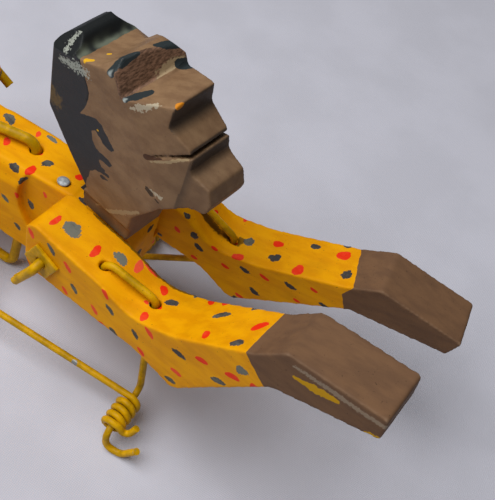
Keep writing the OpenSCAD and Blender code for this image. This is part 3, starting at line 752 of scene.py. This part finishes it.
def skinField(node, local):
    # Above nought where the costume ends and the skin begins
    none = np.full(len(local), skinLimits["none"])
    if node not in cuffs:
        return none
    skin = np.min([local @ np.array(plane[:3]) - plane[3] for plane in cuffs[node]], axis=0)
    return np.where(local[:, 1] < skinLimits["kneeHeight"], skin, none) if node.endswith("leg") else skin


def laidFaces(node, local, normals):
    # The faces whose dabs are listed take no brush dabs
    along = local[:, 0]
    up, out = normals[:, 1] > 0.3, normals[:, 2]
    if node == "right_arm":
        return up | (out > 0.5)
    if node == "left_arm":
        return (up & (along > 24)) | ((out < -0.5) & (along > 20))
    if node == "torso":
        return (up & (along > -50)) | ((out > 0.5) & (along > -46) & (along < -15))
    return np.zeros(len(local), bool)


def dressWood(node, how):
    piece = carve(node, how)
    local, normals = ownPoints(piece, node)
    skin = skinField(node, local)
    blocked = (skin > skinLimits["noDabs"]) | laidFaces(node, local, normals)
    red, dark, pale = layDabs(local, normals, how, blocked)
    skin = np.clip(skin, -skinLimits["range"], skinLimits["range"])
    fields = {"dabRed": red, "dabDark": dark, "dabPale": pale, "skinSide": skin}
    for markName, places in boardMarks.items():
        fields[markName] = nearPaths(local, places.get(node, ()))
    fields["smear"] = fields["smear"] * how["smearStrength"]
    addFields(piece, fields)
    settle(piece, node, spottedPaint)


for woodNode, woodHow in woodPieces.items():
    dressWood(woodNode, woodHow)
print("boards carved and painted")

# Head: carved further with a knife, then painted
headShape = {"name": "carvedHead", "voxel": 0.45, "softening": 2, "wearSpread": 5, "hollowSize": 13.0,
             "hollowDepth": 0.12, "seed": 41, "cheek": -12.6}
hairEdge = [
    (-6.4, 99), (-6.4, 82.4), (-4, 78), (-2.4, 75), (-0.8, 72), (-1.6, 67), (-3.6, 61.2), (2.3, 63.9),
    (5.6, 63.7), (8, 61.1), (10.4, 59.2), (12.2, 57.4), (10.9, 55.8), (8, 55.8), (5.6, 57.8), (3.2, 58.8),
    (1.6, 57.6), (2.6, 54), (4.2, 51.8), (7, 51.4), (10.4, 51.4), (12.2, 50.2), (11.4, 48.4), (8, 48.6),
    (6.2, 47.6), (7.8, 45.6), (9.8, 45.4), (8.4, 42.8), (5, 41.2), (2.8, 38.6), (1.6, 33), (0.2, 26),
    (-4, 12), (-40, 12), (-40, 99)]
hairBits = [
    [(8.8, 43.6, 1.0), (11.2, 43.9, 0.6)], [(8.4, 40.9, 0.9), (10.8, 41.5, 0.5)],
    [(5, 47.2, 1), (7.4, 43.8, 0.7)]]
headMarks = {
    "rub": [
        [(-12.3, -7.1, 85.6, 0.7), (-13.2, -8.4, 83.6, 1.2), (-13.3, -10.3, 81.5, 1.5),
         (-12.9, -11.7, 80.1, 1.5)],
        [(-14.2, -12.5, 76.2, 1.4), (-10.5, -12.6, 77.2, 2.4), (-6.6, -12.6, 78.2, 2.8),
         (-3.6, -12.6, 78.6, 2.6)]],
    "facetWorn": [
        [(15.2, -6.8, 84.3, 0.8), (15.1, -3.5, 84.6, 1.7), (14.9, 0.9, 84.9, 2.2), (14.6, 6, 85.5, 2.2),
         (14.5, 9.6, 86, 1.2)]],
    "eyeWorn": [
        [(15.6, -12.4, 79.4, 1.0), (18.7, -11.6, 81.3, 1.9), (21.7, -10.5, 84.3, 1.3),
         (24.8, -9.5, 86.9, 0.9), (27, -7.4, 88, 0.6)],
        [(28.4, -12.6, 54.2, 0.5), (32.8, -12.5, 54.2, 1.4)]],
    "lipPaint": [
        [(26.2, -12.1, 65.2, 0.3), (31, -10.8, 68.2, 0.6), (36.9, -8.4, 73.2, 0.5)],
        [(4.3, -8.6, 19.1, 0.3), (13.1, -11.1, 26.1, 0.9), (19.5, -11.6, 32.3, 0.9),
         (25.6, -12.2, 38.9, 0.6)]],
    "mouthRed": [
        [(24.4, -12.5, 65.9, 1.0), (26.6, -11.8, 66.8, 0.7), (30, -11.3, 68.8, 0.4)]],
    "orange": [
        [(28.2, -6.9, 87.2, 1.1), (28.8, -5.2, 87.6, 0.9)]],
    "yellowFleck": [
        [(-4.2, -12, 82.6, 0.9), (-2.6, -11, 83.2, 0.7)],
        [(4, -12.6, 60, 0.35), (4.4, -12.6, 60.1, 0.35)],
        [(-1.9, -5.6, 83.6, 0.4), (-1.2, -5, 83.8, 0.4)]],
    "brownPatch": [
        [(-17.4, -11, 62, 1.8), (-15.4, -12.6, 58, 2.8)]],
    "stripe": [
        [(6.2, -12.2, 86, 1.5), (6.9, -8, 89.2, 1.5), (7.9, -3.9, 90.7, 0.8)],
        [(8.4, 2.6, 91, 0.6), (10.4, 6.2, 91, 1.8), (12.2, 10.9, 90.2, 1.6)],
        [(13.0, -12.3, 80.6, 0.9), (14.9, -9.8, 82, 1.9), (16.8, -6.5, 83.4, 1.4)],
        [(14.8, 8, 85.4, 1.6), (16, 10.6, 84.8, 1.9)]],
    "stripePale": [
        [(6, -12.4, 85.6, 1.6), (6.6, -11, 87.2, 0.7)],
        [(12.8, -12.5, 80.2, 1.5), (13.3, -12, 80.8, 0.9)],
        [(14.2, -9.4, 83.2, 0.5), (15.6, -6.6, 84.4, 0.5)],
        [(15.4, 9, 84.8, 0.5), (16, 10.4, 84.4, 0.6)]],
    "knot": [
        [(27.6, -12.6, 53.4, 1.0), (29.4, -12.5, 52.8, 1.1)],
        [(31.4, -12.4, 51.8, 0.5), (33, -12.3, 51.6, 0.4)]],
}
browFacet = ((8.3, -12.6, 86.6), (0.851, -0.211, 0.481))
noseFacet = ((11.8, -12.6, 80.4), (-0.365, -0.142, 0.920))
mouthEnd = (25.2, 0, 66.4)
napeCut = ((-10.5, 12.6, 82.5), (-0.1, 0.75, 0.66))
headNotches = [
    ((20, 0, 95), [browFacet, noseFacet]),
    ((40, 0, 76), [(mouthEnd, (0.594, 0, -0.804)), (mouthEnd, (-0.510, 0, 0.860))]),
    ((0, -14, 90), [((6, -12.6, 86.2), (-0.229, -0.7, 0.66)), ((-7.4, 0, 82), (1, 0, 0))]),
    ((-6, 14, 86), [((-7, 12.6, 80.9), (0, 0.62, 0.78)), ((1, 12.6, 82), (-0.9, 0.3, 0.3))]),
]


def headPlane(point, normal):
    # A knife cut given in the head's own measures
    rows, shift = frames["head"]
    return toFrame(rows.T @ (np.array(point) + shift)), rows.T @ np.array(normal, float)


def rising(values, start, width):
    # From nought at the start to one a width further on
    return np.clip((values - start) / width, 0, 1)


def shadeUnder(local, normals):
    # Painted shade: darker paint on the faces that look down or forward, below the brow, nose, lip and chin,
    # and a lighter painted shade over the front of the face from the mouth on
    along, _, height = local.T
    forward = rising(normals[:, 0], 0.62, 0.2) * (along > 24) * (height > 70)
    below = rising(-normals[:, 2], 0.12, 1 / 3) * (along > 30) * rising(height, 36, 22)
    underNose = rising(along, 32.56, -3.6) * (along > 28) * (height > 74) * (height < 86)
    underLip = 0.8 * rising(along, 43.1, -4.5) * (along > 38) * (height < 74)
    mouthSide = 0.3 * rising(along, 28, 10)
    return np.maximum.reduce([forward, below, underNose * (normals[:, 1] > -0.8), underLip, mouthSide])


def dressHead():
    notches = [(headPlane(middle, (1, 0, 0))[0], [headPlane(*plane) for plane in planes])
               for middle, planes in headNotches]
    piece = carve("head", headShape, [headPlane(*napeCut)], notches)
    local, normals = ownPoints(piece, "head")
    along, side, height = local.T
    cheek = headShape["cheek"]
    bits = nearPaths(local, [[(x, cheek, z, reach) for x, z, reach in path] for path in hairBits])
    hair = np.maximum(insidePolygon(hairEdge, along, height), np.where(side < -10, bits * 0.8, -3))
    rim = rising(hair, 1.08, -0.9) * (height > 68) * (along < 2)
    green = rising(along, -10.4, 3.4) * rising(normals[:, 2], 0.4, 0.2) * (along < -2)
    fromBrow = (local - browFacet[0]) @ np.array(browFacet[1])
    fromNose = (local - noseFacet[0]) @ np.array(noseFacet[1])
    bare = np.minimum.reduce([0.7 - np.abs(fromBrow), fromNose + 0.2, along - 7.5, 17 - along])
    fields = {
        "hair": np.clip(hair, -3, 3),
        "crownTop": np.maximum(rising(normals[:, 2], 0.35, 0.25), rim),
        "hairGreen": green * (0.65 + 0.8 * wobble(local, 3.2, 5)),
        # painted shade under the brow, nose, lip and chin
        "paintedUndercutShade": shadeUnder(local, normals),
        "bareFacet": np.clip(bare, -1, 1),
    }
    for markName, paths in headMarks.items():
        fields[markName] = nearPaths(local, paths)
    for speckled in ("rub", "eyeWorn"):
        fields[speckled] = fields[speckled] * 0.9 - 0.42
    addFields(piece, fields)
    settle(piece, "head", facePaint)


dressHead()
print("head carved and painted")


# Wires
def roundBends(corners, radius):
    # A bent line with a round bend at each corner
    corners = [np.asarray(c, float) for c in corners]
    line = [corners[0]]
    for before, corner, after in zip(corners[:-2], corners[1:-1], corners[2:]):
        u, v = unit(before - corner), unit(after - corner)
        half = math.acos(max(-1, min(1, float(u @ v)))) / 2
        turn = math.pi - 2 * half
        if turn < wireGauge["straight"]:
            line.append(corner)
            continue
        middle = corner + unit(u + v) * (radius / math.sin(half))
        start = unit(corner + u * radius / math.tan(half) - middle)
        finish = unit(corner + v * radius / math.tan(half) - middle)
        finish = unit(finish - (finish @ start) * start)
        steps = max(3, math.ceil(math.degrees(turn) / wireGauge["bendStep"]))
        for i in range(steps + 1):
            w = turn * i / steps
            line.append(middle + radius * (start * math.cos(w) + finish * math.sin(w)))
    line.append(corners[-1])
    return line


def evenSteps(line):
    # Extra points on straight runs, so that the paint can be lumpy there too
    full = [line[0]]
    for a, b in zip(line[:-1], line[1:]):
        parts = max(1, math.ceil(np.linalg.norm(b - a) / wireGauge["longest"]))
        full += [a + (b - a) * i / parts for i in range(1, parts + 1)]
    return full


wireGauge = {"rod": 1.4, "crank": 1.4, "axle": 1.9, "back": 2.0, "bend": 2.6, "sides": 18, "lump": 0.16,
             "lumpSize": 0.5, "longest": 1.3, "straight": 0.035, "bendStep": 10}
# The rounded end of a bar: how far on, and how thick, both in radii
wireEnds = ((0.5, 0.35), (0.46, 0.66), (0.36, 0.86), (0.18, 0.97))


def makeBentWire():
    # Sweeps a round bar along a line and lays an uneven coat of paint over it
    tree = bpy.data.node_groups.new("bentWire", "GeometryNodeTree")
    tree.interface.new_socket("Geometry", in_out="INPUT", socket_type="NodeSocketGeometry")
    sockets = {}
    for name in ("Radius", "Seed"):
        socket = tree.interface.new_socket(name, in_out="INPUT", socket_type="NodeSocketFloat")
        sockets[name] = socket.identifier
    tree.interface.new_socket("Geometry", in_out="OUTPUT", socket_type="NodeSocketGeometry")
    inside = tree.nodes.new("NodeGroupInput").outputs
    out = tree.nodes.new("NodeGroupOutput")
    profile = addNode(tree, "GeometryNodeCurvePrimitiveCircle", {
        "Resolution": wireGauge["sides"], "Radius": inside["Radius"]})
    swept = addNode(tree, "GeometryNodeCurveToMesh", {
        "Curve": inside["Geometry"], "Profile Curve": profile.outputs["Curve"], "Fill Caps": True})
    place = addNode(tree, "GeometryNodeInputPosition").outputs["Position"]
    facing = addNode(tree, "GeometryNodeInputNormal").outputs["Normal"]
    lumps = addNode(tree, "ShaderNodeTexNoise", {
        "Vector": place, "W": inside["Seed"], "Scale": wireGauge["lumpSize"] * perMetre, "Detail": 2.0},
        noise_dimensions="4D")
    centred = maths(tree, "SUBTRACT", lumps.outputs["Fac"], 0.5)
    height = scaled(tree, centred, wireGauge["lump"] / perMetre)
    push = addNode(tree, "ShaderNodeVectorMath", {0: facing, "Scale": height}, operation="SCALE")
    moved = addNode(tree, "GeometryNodeSetPosition", {
        "Geometry": swept.outputs["Mesh"], "Offset": push.outputs["Vector"]})
    smooth = addNode(tree, "GeometryNodeSetShadeSmooth", {"Geometry": moved.outputs["Geometry"]})
    fillInputs(tree, out, {"Geometry": smooth.outputs["Geometry"]})
    return tree, sockets


bentWire, bentWireSockets = makeBentWire()


def drawWire(node, pieceName, line, radius, seed, bareEnds=()):
    line = evenSteps([np.asarray(p, float) for p in line])
    head, tail = unit(line[0] - line[1]), unit(line[-1] - line[-2])
    points = [(line[0] + head * radius * push, size) for push, size in wireEnds]
    points += [(p, 1.0) for p in line]
    points += [(line[-1] + tail * radius * push, size) for push, size in reversed(wireEnds)]
    curve = bpy.data.curves.new(pieceName, "CURVE")
    curve.dimensions = "3D"
    spline = curve.splines.new("POLY")
    spline.points.add(len(points) - 1)
    for target, (place, size) in zip(spline.points, points):
        setAll(target, co=(*toFrame(place), 1), radius=size)
    drawn = addObject(pieceName + "Line", curve)
    modifier = setAll(drawn.modifiers.new("bentWire", "NODES"), node_group=bentWire)
    modifier[bentWireSockets["Radius"]] = radius / perMetre
    modifier[bentWireSockets["Seed"]] = float(seed)
    mesh = evaluatedMesh(drawn)
    bpy.data.objects.remove(drawn)
    piece = addObject(pieceName, mesh)
    work = bmesh.new()
    work.from_mesh(mesh)
    faceOutwards(work, mesh)
    local = readMesh(mesh)[0]
    bare = np.full(len(local), -1.0)
    for place, reach in bareEnds:
        bare = np.maximum(bare, 1 - np.linalg.norm(local - np.array(place), axis=1) / reach)
    addFields(piece, {"edgeWear": np.zeros(len(local)), "bareTip": bare})
    return settle(piece, node, wireCoat)


# Where there are two of a thing, the right side's comes first
linkage = {
    "axleGap": 80.0, "crank": ((46.4, -51.6), (6.6, -57.2)), "rodY": 34.9,
    "coilTurns": 4, "coilGap": 0.45, "coilFit": 0.8, "coilSteps": 24, "passGap": 0.4,
    "staple": (((18.3, -27.4, 18.0), (40.0, -27.6, 13.1)), ((22.0, -24.0, 17.2), (44.0, -26.0, 12.6))),
    "stapleRear": 2, "stapleFront": -10.0, "slant": (0.8, 6.4), "legStaples": (-15.0, -33.0),
    "thighHalf": 12.4, "tail": 15.0, "plateW": 11.6, "plateT": 1.5, "coat": 0.985,
}
wireR = wireGauge["crank"]
bendR = wireR + wireGauge["bend"]
coilPitch = 2 * wireR + linkage["coilGap"]
pinTailY = linkage["rodY"] + linkage["coilTurns"] * coilPitch + 2 * wireR + linkage["passGap"]
shoulder, hip = np.array(figure["shoulder"]), np.array(figure["hip"])
legMid = figure["limbGap"] + figure["boardT"] / 2


def turned2(point, angle):
    c, s = cosSin(angle)
    return np.array((point[0] * c + point[1] * s, -point[0] * s + point[1] * c))


def placed(line, isLeft, turn, centre=(0, 0)):
    # From a limb's own measures to the figure's
    rows = sideRows[isLeft] @ turnedY(turn)
    return [rows @ np.asarray(p, float) + inPlane(centre) for p in line]


def crankLine(start, pin, yIn, tail):
    # Staple, drop to the crank pin, out along it, and its bent tail
    corners = start + [(pin[0], yIn, pin[1]), (pin[0], -pinTailY, pin[1])] + tail
    return roundBends(corners, bendR)


def tableTail(pin, turn, slant):
    # The end of the crank pin drops to the table and turns up in front
    low = figure["tableZ"] + wireR
    ends = [turned2((pin[0] + push, height), -turn)
            for push, height in ((slant, low), (slant + 7, low), (slant + 12.2, low + 8))]
    return [(p[0], -pinTailY + y, p[1]) for p, y in zip(ends, (-0.4, 0, 0.8))]


def armWire(node, pieceName, isLeft, seed):
    turn = (0, figure["leftTurn"])[isLeft]
    pin = shoulder + np.array(linkage["crank"][isLeft])
    rear, front = linkage["staple"][isLeft]
    start = [(*rear[:2], linkage["stapleRear"]), rear, front, (*front[:2], linkage["stapleFront"])]
    tail = tableTail(pin, turn, linkage["slant"][isLeft])
    line = placed(crankLine(start, turned2(pin, -turn), front[1] - 0.4, tail), isLeft, turn)
    drawWire(node, pieceName, line, wireR, seed, [(line[-1], 1.3)])


def legWire(node, pieceName, isLeft, seed):
    turn = (-legTurn, legTurn)[isLeft]
    pin = turned2(linkage["crank"][isLeft], -turn)
    upper, lower = linkage["legStaples"]
    back = -linkage["thighHalf"] - 4.4
    start = [(-1.5, -legMid, upper), (back, -legMid, upper), (back, -legMid, lower),
             (linkage["thighHalf"] + 2.4, -legMid, lower)]
    line = crankLine(start, pin, -legMid - 0.4, [(pin[0], -pinTailY - 0.2, pin[1] + 9)])
    line = placed(line, isLeft, turn, hip)
    drawWire(node, pieceName, line, wireR, seed, [(line[-1], 2.5)])


def coilLine(pin, sense, turns):
    radius = 2 * wireR + linkage["coilFit"]
    steps = linkage["coilSteps"]
    line = []
    for i in range(int(turns * steps) + 1):
        c, s = cosSin(90 + sense * (360 / steps) * i)
        y = -linkage["rodY"] - coilPitch * i / steps
        line.append(np.array((pin[0] + radius * c, y, pin[1] + radius * s)))
    return line


def rodWire(node, pieceName, isLeft, seed):
    pin = shoulder + np.array(linkage["crank"][isLeft])
    front = coilLine(pin, -1, linkage["coilTurns"])
    rear = coilLine((pin[0] - linkage["axleGap"], pin[1]), 1, linkage["coilTurns"] + 0.25)
    end = front[-1]
    hook = roundBends([end, end + (3.2, 0.3, -1), end + (6.4, 0.4, -6.2), end + (8.8, 2.6, 0.2)], 2.2)[1:]
    line = hook[::-1] + front[::-1] + rear + [rear[-1] + (0, -0.2, -3)]
    fleck = front[0] + np.array((-26, -1.2, 1.0))
    line = placed(line + [fleck], isLeft, 0)
    fleck = line.pop()
    drawWire(node, pieceName, line, wireGauge["rod"], seed, [(line[0], 1.2), (fleck, 1.3)])


pliers = {"inner": 4, "halfWidth": 0.62, "depth": 0.5, "middle": 2, "length": 7, "fade": 3, "near": 2.6}


def axleWire(node, pieceName, centre, planeY, rightTail, leftTail, seed):
    right, left = (unit(np.array(d, float)) * linkage["tail"] for d in (rightTail, leftTail))
    corners = [(right[0], -planeY, right[1]), (0, -planeY, 0), (0, planeY, 0), (left[0], planeY, left[1])]
    line = [p + inPlane(centre) for p in roundBends(corners, wireGauge["axle"] + 1.2)]
    tips = [(line[0], 1.2), (line[-1], 1.2)]
    made = drawWire(node, pieceName, line, wireGauge["axle"] * linkage["coat"], seed, tips)
    # Plier marks: a groove along the end of each tail
    points, normals, _ = readMesh(made.data)
    for end, inner in ((line[0], line[pliers["inner"]]), (line[-1], line[-1 - pliers["inner"]])):
        along = unit(inner - end)
        reach = (points - end) @ along
        across = (points - end) - reach[:, None] * along
        groove = np.clip((pliers["length"] - np.abs(reach - pliers["middle"])) / pliers["fade"], 0, 1)
        depth = pliers["depth"] * groove * (np.abs(across[:, 1]) < pliers["halfWidth"])
        near = np.linalg.norm(across, axis=1) < pliers["near"]
        points = points - normals * (depth * near)[:, None]
    writePoints(made.data, points)


seed = 0
for bend, nodeEnd, nameEnd in ((armWire, "_arm_wire", "ArmCrank"), (legWire, "_leg_wire", "LegCrank"),
                               (rodWire, "_rod", "Rod")):
    for isLeft, side in enumerate(("right", "left")):
        seed += 1
        bend(side + nodeEnd, side + nameEnd, isLeft, seed)
splayCos, splaySin = cosSin(figure["splay"])
plateOut = (figure["limbGap"] + (figure["boardT"] + linkage["plateT"]) / splayCos
            + (linkage["plateW"] * 0.71 + figure["shoulder"][0]) * splaySin / splayCos)
outside = linkage["passGap"] + wireGauge["axle"]
legPlaneY = figure["limbGap"] + figure["boardT"] + linkage["plateT"] + outside
axleWire("shoulder_axle", "shoulderAxle", shoulder, plateOut + outside, (-7.4, -13.2), (-6, -13), 7)
axleWire("hip_axle", "hipAxle", hip, legPlaneY, (-7, -13), (9, -6), 8)

backShape = {"holeX": -31.0, "rearX": -68.0, "rearY": -5.5, "lean": 5.0, "top": 15.0, "lift": 0.4,
             "under": 0.8, "topY": 0.5, "foot": (-35.0, -42.0)}


def backWire():
    radius = wireGauge["back"]
    bendZ = figure["tableZ"] + radius + backShape["under"]
    rise = backShape["top"] + radius + backShape["lift"]
    top = np.array((backShape["holeX"], backShape["topY"], backShape["top"]))
    lean = unit(np.array((backShape["foot"][0], -backShape["lean"], backShape["foot"][1])) - top)

    def at(z):
        return top + lean * ((z - top[2]) / lean[2])

    middle = (backShape["holeX"] + backShape["rearX"]) / 2
    gap = radius * 0.35 + 0.25
    rearX, rearY, side = backShape["rearX"], backShape["rearY"], -backShape["lean"]
    corners = [(middle + gap, side, bendZ), (at(bendZ)[0], side - 0.6, bendZ), (*at(rise)[:2], rise),
               (rearX, rearY, rise), (rearX, rearY, bendZ), (middle - gap, side - 0.1, bendZ)]
    drawWire("back_wire", "backWire", roundBends(corners, radius + wireGauge["bend"]), radius, 9)


backWire()
print("wires bent")

plateShape = {"voxel": 0.28, "softening": 2, "wearSpread": 4, "hollowSize": 4.0, "hollowDepth": 0.1,
              "seed": 51}
for jointName in ("shoulder", "hip"):
    for side in ("right", "left"):
        plateNode = side + "_" + jointName + "_plate"
        plate = carve(plateNode, plateShape | {"name": side + jointName.capitalize() + "Plate"})
        addField(plate.data, "bareTip", np.full(len(plate.data.vertices), -1.0))
        settle(plate, plateNode, wireCoat)
neckDowel = frame["nodes"]["neck_dowel"]
neckDowel.data.materials.clear()
neckDowel.data.materials.append(bareWood)
# The nail as (how deep, radius) rings: a domed head hammered flat, then a slanting shank
nail = {"at": (-15.0, -6.5, 15.0), "aim": (22.0, 5.3, -12.0), "flat": (0.12, 0.05, -1.0), "sides": 28,
        "headAt": (-14.3, -6.3, 15.0), "stretch": 1.2,
        "head": ((-0.5, 0.4), (-0.46, 1.0), (-0.32, 1.7), (-0.05, 2.1), (0.25, 2.15), (0.5, 1.9)),
        "shank": ((2.2, 0.9), (10, 0.9), (20, 0.9), (29.4, 0.85), (30.3, 0.4))}


def makeNail():
    work = bmesh.new()
    rings = []
    for start, aim, stretch, sizes in ((nail["headAt"], nail["flat"], nail["stretch"], nail["head"]),
                                       (nail["at"], nail["aim"], 1.0, nail["shank"])):
        deep = unit(np.array(aim))
        sideways = unit(np.cross(deep, (0.2, 1, 0)))
        raised = np.cross(deep, sideways)
        for depth, radius in sizes:
            ring = []
            for i in range(nail["sides"]):
                w = 2 * math.pi * i / nail["sides"]
                push = radius * (stretch * math.cos(w) * sideways + math.sin(w) * raised)
                ring.append(work.verts.new(toFrame(np.array(start) + deep * depth + push)))
            rings.append(ring)
    for ring, following in zip(rings[:-1], rings[1:]):
        for i in range(nail["sides"]):
            j = (i + 1) % nail["sides"]
            work.faces.new((ring[i], ring[j], following[j], following[i]))
    work.faces.new(rings[0])
    work.faces.new(rings[-1])
    mesh = bpy.data.meshes.new("neckNail")
    faceOutwards(work, mesh)
    mesh.shade_smooth()
    settle(addObject("neckNail", mesh), "neck_nail", nailSteel)


makeNail()
print("plates, nail and peg finished")

# Stage: pale cloth, one wide soft lamp overhead and an even sky
stage = {"floorHalf": 1.6, "floorZ": -0.0002, "lampPower": 18.4, "lampSize": 1.2,
         "lampPlace": (-0.37, -0.3, 1.2), "lampAim": (0.04, 0, 0.05), "skyStrength": 0.13}
floorMesh = bpy.data.meshes.new("clothFloor")
half = stage["floorHalf"]
corners = [(x, y, stage["floorZ"]) for x, y in ((-half, -half), (half, -half), (half, half), (-half, half))]
floorMesh.from_pydata(corners, [], [(0, 1, 2, 3)])
floorMesh.materials.append(makeCloth())
floor = addObject("clothFloor", floorMesh)
lampData = bpy.data.lights.new("softLamp", "AREA")
setAll(lampData, shape="DISK", size=stage["lampSize"], energy=stage["lampPower"])
lamp = addObject("softLamp", lampData)
lamp.location = stage["lampPlace"]
aim = Vector(stage["lampAim"]) - Vector(stage["lampPlace"])
lamp.rotation_euler = aim.to_track_quat("-Z", "Y").to_euler()
world = bpy.data.worlds.new("evenSky")
scene.world = world
world.use_nodes = True
sky = world.node_tree.nodes["Background"]
sky.inputs["Color"].default_value = (1, 1, 1, 1)
sky.inputs["Strength"].default_value = stage["skyStrength"]

# Camera: where the photograph was taken from
view = {"place": (98.4, -185.5, 271.2), "ahead": (-0.1338, 0.6005, -0.7884), "right": (0.851, 0.4772, 0.2191),
        "up": (-0.5078, 0.6416, 0.5748), "lens": 64.67, "sensor": 36.0, "nearest": 0.01}
cameraData = bpy.data.cameras.new("photoCamera")
setAll(cameraData, sensor_fit="AUTO", sensor_width=view["sensor"], lens=view["lens"],
       clip_start=view["nearest"])
camera = addObject("photoCamera", cameraData)
axes = Matrix((view["right"], view["up"], [-a for a in view["ahead"]])).transposed().to_4x4()
camera.matrix_world = Matrix.Translation(toFrame(view["place"])) @ axes
scene.camera = camera
scene.view_settings.view_transform = "Standard"
print("stage set")
